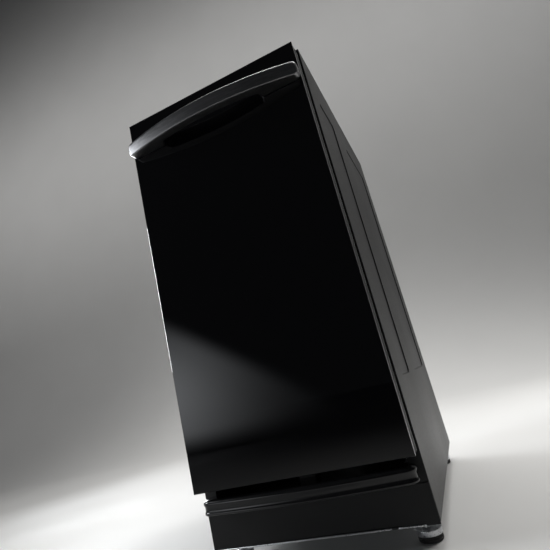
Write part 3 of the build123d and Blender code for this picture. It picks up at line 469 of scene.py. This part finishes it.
# The stations lie closer together near the ends: x = half * sin(angle).
x = half * np.sin(np.linspace(-1, 1, handle["stations"]) * np.pi / 2)
# The front follows an arc through both ends and the middle: its radius is (c^2 + s^2) / 2s for
# half chord c and sagitta s, and the back of the grip follows its own in the same way.
sagitta = reach - handle["end"]
radius = (half**2 + sagitta**2) / (2 * sagitta)
front = reach - radius + np.sqrt(radius**2 - x**2)
shallow, deep = handle["gripDepth"]
gripRadius = (handle["grip"]**2 + (deep - shallow)**2) / (2 * (deep - shallow))
inGrip = np.clip(np.abs(x), 0, handle["grip"])
hollow = deep - gripRadius + np.sqrt(gripRadius**2 - inGrip**2)
fall = np.clip((np.abs(x) - handle["grip"]) / handle["slope"], 0, 1)
back = hollow * (1 - fall * fall * (3 - 2 * fall)) + 0.05 * mm
# Each end is drawn in by r - sqrt(r^2 - (r - distance)^2) within r of the end.
fromEnd = half - np.abs(x)


def drawIn(r):
    return r - np.sqrt(np.maximum(r**2 - np.clip(r - fromEnd, 0, r)**2, 0))


front = front - drawIn(handle["edge"])
lift = drawIn(handle["corner"])
bottom, top = low[2] + lift, high[2] - lift
roomy = np.minimum(front - back, top - bottom) / 2
radii = np.stack([
    np.minimum(handle["roll"], roomy * 0.98),
    np.minimum(handle["bevel"] * 0.8, roomy * 0.9),
    np.minimum(handle["bevel"] * 0.8, roomy * 0.9),
    np.minimum(handle["bevel"], roomy * 0.9),
], axis=-1)[:, [3, 0, 1, 2]]
outline = roundedBox(np.stack([back, bottom], -1), np.stack([front, top], -1), radii, 9)
bar = np.stack([x[:, None] + 0 * outline[..., 0], glassY - outline[..., 0], outline[..., 1]], -1)
makePiece("handleBar", [loft(bar)], "drawer", "brushed_handle", ["handle"], sharp=40)
print("handle made")

# Toe pedal
pedal = {
    "corner": 18 * mm,
    "bow": 10 * mm,  # how far the middle stands in front of the ends
    "side": 25 * mm,  # depth that the rim's sides run to
    "shoulder": 34 * mm,  # depth that the tread's full width runs to
    "wall": 3 * mm,
    "tread": 160 * mm,  # half the width of the tread behind
    "rollEdge": 7 * mm,
    "groove": 1.5 * mm,
    "stations": 90,
    "arm": (106 * mm, 118 * mm),  # its sides, each way from the middle
    "hub": ((5.2, 0.3), (8.4, 0.3), (9, 0.9), (9, 11.1), (8.4, 11.7), (5.2, 11.7)),
}
low, high = corners("toe_pedal")
half, frontD = high[0], low[1] - glassY
endD = frontD + pedal["bow"]
r = pedal["corner"]
# The rim's path: straight sides, a quarter circle at each corner, and a bowed front whose depth
# is end depth - bow * (1 - (x / half width)^2).
quarter = np.linspace(0, np.pi / 2, 12)[1:-1]
straight = half - r
across = np.linspace(straight, -straight, pedal["stations"])
bowed = endD - pedal["bow"] * (1 - (across / straight)**2)
side = np.linspace(pedal["side"], endD + r, 6)
pathX = np.concatenate([
    side * 0 + half, straight + r * np.cos(quarter), across,
    -straight - r * np.sin(quarter), side * 0 - half])
pathD = np.concatenate([
    side, endD + r - r * np.sin(quarter), bowed,
    endD + r - r * np.cos(quarter), side[::-1]])
path = np.stack([pathX, pathD], axis=-1)
along = np.gradient(path, axis=0)
along /= np.linalg.norm(along, axis=1)[:, None]
away = np.stack([-along[:, 1], along[:, 0]], axis=-1)
away *= np.sign((away[:1] * (1, 0)).sum())
# The rim's section, as (outward, height): a rolled top, a shallow groove and a lower bead, then
# back up the inside.
z0, z1, roll = low[2], high[2], pedal["rollEdge"]
bend = np.linspace(np.pi / 2, 0, 9)
outer = np.concatenate([
    [(-2.2 * roll, z1)],
    np.stack([-roll + roll * np.cos(bend), z1 - roll + roll * np.sin(bend)], axis=-1),
    [(-0.55 * pedal["groove"], z1 - 9.5 * mm), (-pedal["groove"], z1 - 11 * mm),
     (-pedal["groove"], z0 + 6.4 * mm), (-0.6 * pedal["groove"], z0 + 5 * mm),
     (-0.15 * mm, z0 + 4.2 * mm), (0, z0 + 2.6 * mm), (-0.3 * mm, z0 + 1.1 * mm),
     (-1.2 * mm, z0 + 0.2 * mm), (-2 * mm, z0)],
])
inner = outer.copy()
wall = pedal["wall"]
inner[:, 0] -= wall
inner[:, 1] = np.clip(outer[:, 1], z0, z1 - wall)
inner[0] = (outer[0, 0], z1 - wall)
section = np.concatenate([outer, inner[::-1]])
rim = np.empty((len(path), len(section), 3))
rim[..., :2] = path[:, None] + away[:, None] * section[None, :, :1]
rim[..., 1] += glassY
rim[..., 2] = section[:, 1]
# The tread is a flat T: its front edge is the path drawn in, its back the narrower plate.
drawn = (path + away * (-1.6 * roll))[::2]
tip = high[1] - glassY
wing = pedal["tread"]
deep, wide = pedal["shoulder"], half - 1.6 * roll
tee = np.concatenate([[(wing, tip - 1 * mm), (wing, deep), (wide, deep)], drawn,
                      [(-wide, deep), (-wing, deep), (-wing, tip - 1 * mm)]])
levels = np.array([z1 - wall, z1 - wall + 0.4 * mm, z1 - 0.5 * mm, z1 - 0.08 * mm])
shrink = np.array([0.998, 1, 1, 0.997])
tread = np.empty((4, len(tee), 3))
tread[..., 0] = tee[:, 0] * shrink[:, None]
tread[..., 1] = glassY + tip * 0.5 + (tee[:, 1] - tip * 0.5) * shrink[:, None]
tread[..., 2] = levels[:, None]
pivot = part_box("pedal_rod")
pivotY, pivotZ = ((pivot[0][k] + pivot[1][k]) / 2 for k in (1, 2))
# Arms: rounded sections carried back from the tread and down to the hubs on the rod.
reachBack = np.linspace(pivotY - 40 * mm, pivotY - 5 * mm, 8)
share = np.linspace(0, 1, 8)
armInside, armOutside = pedal["arm"]
armLow = np.stack([np.full(8, armInside), z1 - 9 * mm - 7 * mm * share], axis=-1)
armHigh = np.stack([np.full(8, armOutside), z1 - 2 * mm - 3 * mm * share], axis=-1)
arm = roundedBox(armLow, armHigh, np.full((8, 4), 2 * mm), 4)
arms = []
for side in (-1, 1):
    body = np.stack([side * arm[..., 0], reachBack[:, None] + 0 * arm[..., 0], arm[..., 1]], -1)
    hubStart = side * (armInside + armOutside) / 2 - 6 * mm
    ring = turned(np.array(pedal["hub"]) * mm, (hubStart, pivotY, pivotZ), "x", 32, "ring")
    arms += [loft(body), ring]
makePiece("toePedal", [loft(rim, "ribbon"), loft(tread)] + arms, "pedal", "gloss_black",
          ["toe_pedal"], sharp=38)
print("pedal made")

# Power screws, with a trapezoid thread
screw = {"lead": 6 * mm, "root": 7.2 * mm, "journal": 8 * mm, "steps": 30,
         "threadStart": 86 * mm, "threadEnd": 824 * mm}
for side in ("left", "right"):
    node = side + "_power_screw"
    low, high = corners(node)
    x, y, crest = (low[0] + high[0]) / 2, (low[1] + high[1]) / 2, (high[0] - low[0]) / 2
    journal = screw["journal"]
    ends = [(low[2], screw["threadStart"] + mm), (screw["threadEnd"] - mm, high[2])]
    shafts = [turned([(journal - 0.7 * mm, a), (journal, a + 0.7 * mm), (journal, b - 0.7 * mm),
                      (journal - 0.7 * mm, b)], (x, y, 0)) for a, b in ends]
    helix = thread(x, y, screw["threadStart"], screw["threadEnd"], screw["lead"], screw["root"],
                   crest, screw["steps"])
    makePiece(side + "ScrewThread", [helix] + shafts, side + "_screw", "machined_steel", [node],
              weld=True)
print("power screws made")

# Drive chain
chain = {"pitch": 9.525 * mm, "links": 108, "halfWidth": 3.8 * mm, "waist": 2.9 * mm,
         "plate": 1.2 * mm, "roller": 2.55 * mm, "pin": 1.6 * mm}
centres = np.array([(0.5 * (a + b)[0], 0.5 * (a + b)[1]) for a, b in
                    (corners(n) for n in ("right_sprocket", "drive_sprocket", "left_sprocket"))])
wrap = chain["pitch"] / (2 * np.sin(np.pi / 15))
low, high = corners("drive_chain")
# The loop is a rounded triangle: from each wheel's tangent point round its arc, then straight to
# the next. A joint stands every pitch along it, starting at the right wheel's front.
onward = np.roll(centres, -1, axis=0) - centres
runs = np.linalg.norm(onward, axis=1)
heading = np.arctan2(onward[:, 1], onward[:, 0])
leaving = np.unwrap(heading) - np.pi / 2
arriving = np.concatenate([[leaving[-1] - fullTurn], leaving[:-1]])
arcs = (leaving - arriving) % fullTurn
pieces = np.stack([arcs * wrap, runs], axis=-1).ravel()
ends = np.concatenate([[0], np.cumsum(pieces)])
joints = np.arange(chain["links"] + 1) * ends[-1] / chain["links"]
which = np.clip(np.searchsorted(ends, joints, side="right") - 1, 0, 5)
wheel, straightRun = which // 2, which % 2 == 1
past = joints - ends[which]
turnAt = np.where(straightRun, leaving[wheel], arriving[wheel] + past / wrap)
outwardAt = np.stack([np.cos(turnAt), np.sin(turnAt)], axis=-1)
forwardAt = np.stack([-outwardAt[:, 1], outwardAt[:, 0]], axis=-1)
joint = centres[wheel] + outwardAt * wrap + forwardAt * np.where(straightRun, past, 0)[:, None]
step = np.diff(joint, axis=0)
middles = (joint[1:] + joint[:-1]) / 2
turns = np.arctan2(step[:, 1], step[:, 0])
# A link plate's outline is two round ends joined by a waist, mirrored to its other side.
lobe = np.linspace(-0.62 * np.pi, 0.62 * np.pi, 7)
right = np.stack([chain["pitch"] / 2 + chain["halfWidth"] * np.cos(lobe),
                  chain["halfWidth"] * np.sin(lobe)], axis=-1)
waist = np.array([(0, chain["waist"])])
flat = np.concatenate([right, waist, -right, -waist])


def linkPlate(low, high):
    return loft(np.stack([np.column_stack([flat, np.full(len(flat), z)]) for z in (low, high)]))


def linkPin(radius, low, high, count=10):
    x = -chain["pitch"] / 2
    return turned([(radius, low), (radius, high)], (x, 0, 0), count=count)


thick = chain["plate"]
inside = (low[2] + thick + 0.02 * mm, high[2] - thick - 0.02 * mm)
roller = linkPin(chain["roller"], *inside)
pin = linkPin(chain["pin"], low[2], high[2])
outerLink = together([linkPlate(low[2] + 0.05 * mm, low[2] + 0.6 * mm),
                      linkPlate(high[2] - 0.6 * mm, high[2] - 0.05 * mm), roller, pin])
innerLink = together([linkPlate(low[2] + 0.62 * mm, low[2] + thick),
                      linkPlate(high[2] - thick, high[2] - 0.62 * mm), roller, pin])
flatPlaces = np.column_stack([middles, np.zeros(len(middles))])
makePiece("rollerChain", [copies(outerLink, flatPlaces[::2], turns[::2]),
                          copies(innerLink, flatPlaces[1::2], turns[1::2])],
          "cabinet", "chain_steel", ["drive_chain"])
print("chain made, its loop", round(float(ends[-1]), 4), "m")

# Levelling legs and feet
leg = {"rim": 1.4 * mm, "collar": 7 * mm, "stud": 4 * mm, "studRoot": 3.4 * mm, "pitch": 1.5 * mm}
for corner in ("front_left", "front_right", "rear_left", "rear_right"):
    low, high = corners(corner + "_leg")
    footLow, footHigh = corners(corner + "_foot")
    x, y = (low[0] + high[0]) / 2, (low[1] + high[1]) / 2
    disc, foot = (high[0] - low[0]) / 2, (footHigh[0] - footLow[0]) / 2
    base, soft = low[2], leg["rim"]
    # The disc's edge is a quarter round above and below, and it rises slightly to the collar.
    bend = np.linspace(0, np.pi / 2, 6)
    rimLow = np.stack([disc - soft + soft * np.sin(bend), base + soft - soft * np.cos(bend)], -1)
    rimHigh = np.stack([disc - soft + soft * np.cos(bend),
                        base + 9.4 * mm - soft + soft * np.sin(bend)], -1)
    collar = [(leg["collar"] + 2 * mm, base + 9.6 * mm), (leg["collar"], base + 10.4 * mm),
              (leg["collar"], base + 13.4 * mm), (leg["collar"] - 0.6 * mm, base + 14 * mm)]
    plate = turned(np.concatenate([rimLow, rimHigh, collar]), (x, y, 0), count=48)
    stud = thread(x, y, base + 13 * mm, high[2], leg["pitch"], leg["studRoot"], leg["stud"], 18)
    body = corner + "_leg_body"
    name = corner.replace("_l", "L").replace("_r", "R")
    makePiece(name + "LegDisc", [plate, stud], body, "zinc", [corner + "_leg"], weld=True)
    # The foot is a low drum with a soft lower edge and a groove below its lip.
    tall = footHigh[2] - footLow[2]
    drum = [(foot - 3 * mm, 0), (foot - 1.2 * mm, 0.05 * tall), (foot - 0.3 * mm, 0.16 * tall),
            (foot, 0.3 * tall), (foot, 0.55 * tall), (foot - 0.9 * mm, 0.62 * tall),
            (foot - 0.9 * mm, 0.7 * tall), (foot - 0.1 * mm, 0.77 * tall),
            (foot - 0.1 * mm, 0.93 * tall), (foot - 0.7 * mm, tall)]
    shell = turned(drum, (x, y, footLow[2]), count=48)
    makePiece(name + "RubberFoot", [shell], body, "foot_rubber", [corner + "_foot"])
print("legs made")

# Rollers: a crowned tread, sunk sides and a raised hub round the bore
wheelLook = {"bore": 3.08 * mm, "crown": 0.35 * mm, "sink": 1.1 * mm}
for corner in ("front_left", "front_right", "rear_left", "rear_right"):
    low, high = corners(corner + "_roller")
    middle, wide, tall = (low + high) / 2, (high - low)[0], (high - low)[2] / 2
    t = np.linspace(-1, 1, 9)
    tread = np.stack([tall - wheelLook["crown"] * t**2, t * (wide / 2 - 0.5 * mm)], axis=-1)
    face = np.array([(tall - 1.2 * mm, wide / 2), (tall - 2.4 * mm, wide / 2 - wheelLook["sink"]),
                     (5.6 * mm, wide / 2 - wheelLook["sink"]), (5 * mm, wide / 2),
                     (wheelLook["bore"], wide / 2)])
    profile = np.concatenate([tread, face, (face * (1, -1))[::-1]])
    shell = turned(profile, middle, "x", 40, "ring")
    name = corner.replace("_l", "L").replace("_r", "R") + "NylonRoller"
    makePiece(name, [shell], corner + "_roller_body", "nylon", [corner + "_roller"])
print("rollers made")

# Start and stop buttons, dished for a fingertip
button = {"dish": 0.9 * mm, "edge": 1 * mm, "cap": 9.8 * mm, "stem": 2.5 * mm}
for name, slot in (("start", "start_green"), ("stop", "stop_red")):
    low, high = corners(name + "_button")
    x, y = (low[0] + high[0]) / 2, (low[1] + high[1]) / 2
    lip = (high[0] - low[0]) / 2
    r = lip - 1.5 * mm
    capLow = high[2] - button["cap"] - 0.5 * mm
    bend = np.linspace(0, np.pi / 2, 6)
    edge = np.stack([r - button["edge"] + button["edge"] * np.cos(bend),
                     high[2] - button["edge"] + button["edge"] * np.sin(bend)], axis=-1)
    # The dish falls as 1 - (distance / radius)^2 below the edge.
    t = np.linspace(0.97, 0.06, 9)
    dish = np.stack([t * (r - button["edge"]), high[2] - button["dish"] * (1 - t**2)], axis=-1)
    stem = [(button["stem"], low[2]), (button["stem"], capLow - 1 * mm), (lip, capLow - 1 * mm),
            (lip, capLow + 0.3 * mm), (r, capLow + 0.3 * mm)]
    makePiece(name + "ButtonCap", [turned(np.concatenate([stem, edge, dish]), (x, y, 0))],
              name, slot, [name + "_button"])
print("buttons made")

# Container: a deep-drawn tub with pressed beads and a rolled rim
tub = {"wall": 2 * mm, "floor": 3 * mm, "corner": 18 * mm, "rim": 3 * mm, "bead": 1.1 * mm,
       "heel": 4 * mm, "innerHeel": 5 * mm,  # bends into the floor, outside and inside
       "beads": (0.16, 0.30, 0.44, 0.58, 0.72), "beadHeight": 9 * mm, "steps": 150}
low, high = corners("container")
rim = tub["rim"]
outsideLow, outsideHigh = low[:2] + rim, high[:2] - rim
wall, heel, innerHeel = tub["wall"], tub["heel"], tub["innerHeel"]
height = np.linspace(low[2] + heel, high[2] - 4 * mm, tub["steps"])
# Each bead is pressed in by depth * cos^2 of the distance from its middle.
beads = low[2] + np.array(tub["beads"]) * (high[2] - low[2])
distance = np.clip(np.abs(height[:, None] - beads) / tub["beadHeight"], 0, 1)
pressed = (tub["bead"] * np.cos(distance * np.pi / 2)**2).sum(axis=1)
foot = np.linspace(0, np.pi / 2, 7)[:-1]
curl = np.linspace(-np.pi / 2, np.pi / 2, 9)
rolled = np.stack([rim / 2 + rim / 2 * np.cos(curl),
                   high[2] - rim / 2 + rim / 2 * np.sin(curl)], axis=-1)
outerSide = np.concatenate([
    np.stack([-heel + heel * np.sin(foot), low[2] + heel - heel * np.cos(foot)], axis=-1),
    np.stack([-pressed, height], axis=-1), rolled])
inside = low[2] + tub["floor"]
innerSide = np.concatenate([
    [(-wall * 0.4, high[2] - 0.3 * mm), (-wall, high[2] - 1.6 * mm)],
    np.stack([-wall - 0.7 * pressed[::-1], height[::-1]], axis=-1)[:-2],
    np.stack([-wall - innerHeel + innerHeel * np.cos(foot),
              inside + innerHeel - innerHeel * np.sin(foot)], axis=-1),
    [(-wall - innerHeel, inside)]])
side = np.concatenate([outerSide, innerSide])
inset = side[:, :1]
radii = np.repeat(np.maximum(tub["corner"] + inset, 2 * mm), 4, axis=1)
outline = roundedBox(outsideLow - inset, outsideHigh + inset, radii, 8)
shell = np.concatenate([outline, np.repeat(side[:, 1:], outline.shape[1], axis=1)[..., None]], -1)
makePiece("wasteTub", [loft(shell)], "drawer", "enamel_white", ["container"], sharp=50)
print("container made")

# Motor: end bells with slots, a grooved stack between them
motor = {"stack": (0.28, 0.74), "grooves": 16, "slots": 14, "slotDepth": 1.6 * mm,
         "bore": 6.15 * mm, "bell": 14 * mm, "around": 168}
low, high = corners("motor")
x, y = (low[0] + high[0]) / 2, (low[1] + high[1]) / 2
bore, bell = motor["bore"], motor["bell"]
r = (high[0] - low[0]) / 2
tall = high[2] - low[2]
# Its profile climbs out of the shaft's bore, over the lower bell, up the side and over the top.
bend = np.linspace(0, np.pi / 2, 8)
lowerBell = np.stack([r - bell + bell * np.sin(bend), bell - bell * np.cos(bend)], axis=-1)
upperBell = np.stack([r - bell + bell * np.cos(bend), tall - bell + bell * np.sin(bend)], axis=-1)
up = np.linspace(bell, tall - bell, 130)[1:-1]
stackLow, stackHigh = (share * tall for share in motor["stack"])
inStack = (up > stackLow) & (up < stackHigh)
waves = np.sin((up - stackLow) / (stackHigh - stackLow) * motor["grooves"] * np.pi)**2
sideR = r - np.where(inStack, 1.2 * mm + 0.8 * mm * waves, 0.0)
profile = np.concatenate([
    [(bore, 42 * mm), (bore, 0.2 * mm), (22 * mm, 0.2 * mm), (23 * mm, 3 * mm),
     (r - bell - 4 * mm, 3 * mm), (r - bell - 3 * mm, 0)],
    lowerBell, np.stack([sideR, up], -1), upperBell,
    [(r - bell - 4 * mm, tall - 1 * mm), (18 * mm, tall - 1 * mm), (16 * mm, tall - 0.2 * mm),
     (3 * mm, tall - 0.2 * mm)]])
angle = np.arange(motor["around"]) * fullTurn / motor["around"]
bellBand = np.exp(-((profile[:, 1] - 0.15 * tall) / (0.06 * tall))**8) \
    + np.exp(-((profile[:, 1] - 0.87 * tall) / (0.05 * tall))**8)
slots = np.clip(np.sin(angle * motor["slots"]) * 4, 0, 1)
onSide = profile[:, 0] > r - 9 * mm
radius = profile[:, :1] - motor["slotDepth"] * (bellBand * onSide)[:, None] * slots
rings = np.stack([x + radius * np.cos(angle), y + radius * np.sin(angle),
                  low[2] + profile[:, 1:] + 0 * radius], axis=-1)
makePiece("motorHousing", [loft(rings)], "cabinet", "motor_enamel", ["motor"], sharp=30)
print("motor made")

# A bright trim along the kick plate's lower hem
trim = {"height": 2.6 * mm, "thick": 1.1 * mm, "inset": 1 * mm, "gap": (0.118, 0.128)}
low, high = corners("kick_plate")
trimY, trimZ = low[1] - 0.7 * mm, low[2] - 0.2 * mm
across = [(low[0] + trim["inset"], trim["gap"][0]), (trim["gap"][1], high[0] - 20 * mm)]
bend = np.linspace(0, fullTurn, 15)[:-1]
runs = []
for a, b in across:
    # An oval carried along x and drawn in at both ends.
    x = np.array([a, a + 0.5 * mm, b - 0.5 * mm, b])
    size = np.array([0.6, 1, 1, 0.6])[:, None]
    runs.append(loft(np.stack([
        x[:, None] + 0 * bend,
        trimY + trim["thick"] * (0.5 + 0.5 * size * np.cos(bend)),
        trimZ + trim["height"] * (0.5 + 0.5 * size * np.sin(bend))], axis=-1)))
makePiece("kickPlateTrim", runs, "cabinet", "zinc")
print("trim made")

# Stage
# The last pair is the span of y over which the floor's colour fades to painted shade in front of
# the machine.
stage = {"floor": (0.52, 0.52, 0.515), "wall": 3.4, "sweep": 1.6, "width": 9.0, "front": -7.0,
         "height": 11.0, "paintedShade": (-2.0, -0.75)}
bend = np.linspace(0, np.pi / 2, 20)[1:-1]
# The floor runs back flat, sweeps up in a quarter circle, and goes on as the wall.
backdrop = np.concatenate([
    [(stage["front"], 0), (stage["wall"] - stage["sweep"], 0)],
    np.stack([stage["wall"] - stage["sweep"] + stage["sweep"] * np.sin(bend),
              stage["sweep"] - stage["sweep"] * np.cos(bend)], axis=-1),
    [(stage["wall"], stage["sweep"]), (stage["wall"], stage["height"])]])
sides = np.linspace(-stage["width"], stage["width"], 7)
grid = np.stack([sides[None] + 0 * backdrop[:, :1], backdrop[:, :1] + 0 * sides,
                 backdrop[:, 1:] + 0 * sides], axis=-1)
count, wide = grid.shape[:2]
index = np.arange(count * wide).reshape(count, wide)
faces = np.stack([index[:-1, :-1], index[:-1, 1:], index[1:, 1:], index[1:, :-1]], axis=-1)
mesh = bpy.data.meshes.new("studioFloor")
mesh.from_pydata(grid.reshape(-1, 3).tolist(), [], faces.reshape(-1, 4).tolist())
mesh.shade_smooth()
floor = bpy.data.objects.new("studioFloor", mesh)
f = Finish("studioPaper", {})
paper = f.noise(2.5, 4, 0.5)
pale = f.blend(f.spread(paper, 0, 1), shade(stage["floor"], 0.985), shade(stage["floor"], 1.015))
# Painted shade: the floor's colour darkens in front of the machine, standing in for a dark room
# there, so that the black glass has little to mirror.
paintedShade = f.add("MapRange", {"interpolation_type": "SMOOTHSTEP"},
            {0: f.along("y"), 1: stage["paintedShade"][0], 2: stage["paintedShade"][1], 3: 1.0, 4: 0.0})
mesh.materials.append(f.finish(
    f.noise(700, 2, 0.5), 0.00003, roughness=f.spread(paper, 0.6, 0.72),
    colour=f.blend(paintedShade, pale, shade(stage["floor"], 0.12))))
scene.collection.objects.link(floor)
floor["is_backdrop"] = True

# Lights: place, what each looks at, size, power, and how widely it spreads in degrees
lamps = {
    "windowLight": ((-2.3, -0.75, 1.55), (0, -0.1, 0.7), (0.8, 1.1), 5.5, 50, (0.93, 0.96, 1.0)),
    "overheadLight": ((0.2, 1.5, 4.2), (0.1, 1.2, 0), (4.6, 1.6), 48, 70, (1.0, 0.99, 0.97)),
    "wallLight": ((-1.6, 0.7, 4.4), (-1.6, 3.4, 3.1), (11.0, 1.0), 125, 170, (1.0, 0.99, 0.98)),
    "backLight": ((1.9, 2.1, 1.9), (0, 0, 0.45), (1.4, 1.4), 9, 60, (1.0, 0.98, 0.95)),
    "sideLight": ((-2.3, 1.6, 1.2), (0, 0, 0.4), (1.2, 1.2), 9, 60, (0.96, 0.98, 1.0)),
}
for name, (place, target, size, power, spread, colour) in lamps.items():
    lamp = bpy.data.lights.new(name, "AREA")
    lamp.shape = "RECTANGLE"
    lamp.size, lamp.size_y = size
    lamp.energy = power
    lamp.spread = np.radians(spread)
    lamp.color = colour
    holder = bpy.data.objects.new(name, lamp)
    turn = (Vector(target) - Vector(place)).to_track_quat("-Z", "Y").to_matrix().to_4x4()
    holder.matrix_world = Matrix.Translation(place) @ turn
    holder.visible_camera = False
    holder.visible_glossy = name not in ("backLight", "wallLight")
    scene.collection.objects.link(holder)

# A soft glow low on the left, for the glass to mirror: a card whose light fades out from a
# point by exp(-(distance / spread)^2), across a slanting edge, and towards the floor.
glow = {"middle": (-1.86, -2.3, 0.40), "spread": (0.66, 0.46), "power": 2.6,
        "edge": (-1.58, 0.92), "slant": 0.72, "softness": 0.09, "foot": 0.16}
cx, cy, cz = glow["middle"]
across, upward = np.meshgrid(np.linspace(-1.6, 1.6, 3), np.linspace(-0.4, 1.0, 3))
points = np.stack([cx + across, cy + 0 * across, cz + upward], axis=-1).reshape(-1, 3)
index = np.arange(9).reshape(3, 3)
faces = np.stack([index[:-1, :-1], index[1:, :-1], index[1:, 1:], index[:-1, 1:]], axis=-1)
mesh = bpy.data.meshes.new("glowCard")
mesh.from_pydata(points.tolist(), [], faces.reshape(-1, 4).tolist())
card = bpy.data.objects.new("glowCard", mesh)
f = Finish("softGlow", {"Base Color": (0, 0, 0, 1), "Roughness": 1.0, "Specular IOR Level": 0.0,
                        "Emission Color": (0.93, 0.96, 1.0, 1), "Emission Strength": glow["power"]})
px, pz = f.along("x"), f.along("z")
spreadX, spreadZ = glow["spread"]
edgeX, edgeZ = glow["edge"]
dx, dz = (px - cx) / spreadX, (pz - cz) / spreadZ
fade = f.add("Math", {"operation": "EXPONENT"}, {0: 0.0 - (dx * dx + dz * dz)})
edge = f.add("MapRange", {"interpolation_type": "SMOOTHERSTEP"},
             {0: (pz - edgeZ) + (px - edgeX) * glow["slant"], 1: -0.05 - glow["softness"],
              2: glow["softness"], 3: 1.0, 4: 0.0})
rise = f.add("MapRange", {"interpolation_type": "SMOOTHSTEP"},
             {0: pz, 1: 0.0, 2: glow["foot"], 3: 0.0, 4: 1.0})
f.feed(f.shader.inputs["Alpha"], fade * edge * rise)
mesh.materials.append(f.finish())
card.visible_camera = False
card.visible_shadow = False
scene.collection.objects.link(card)
card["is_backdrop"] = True

# The room: an even, dim light
world = bpy.data.worlds.new("studioRoom")
world.use_nodes = True
scene.world = world
background = world.node_tree.nodes["Background"]
background.inputs["Color"].default_value = (0.92, 0.95, 1.0, 1)
background.inputs["Strength"].default_value = 0.03
print("stage and lights set")

low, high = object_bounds()
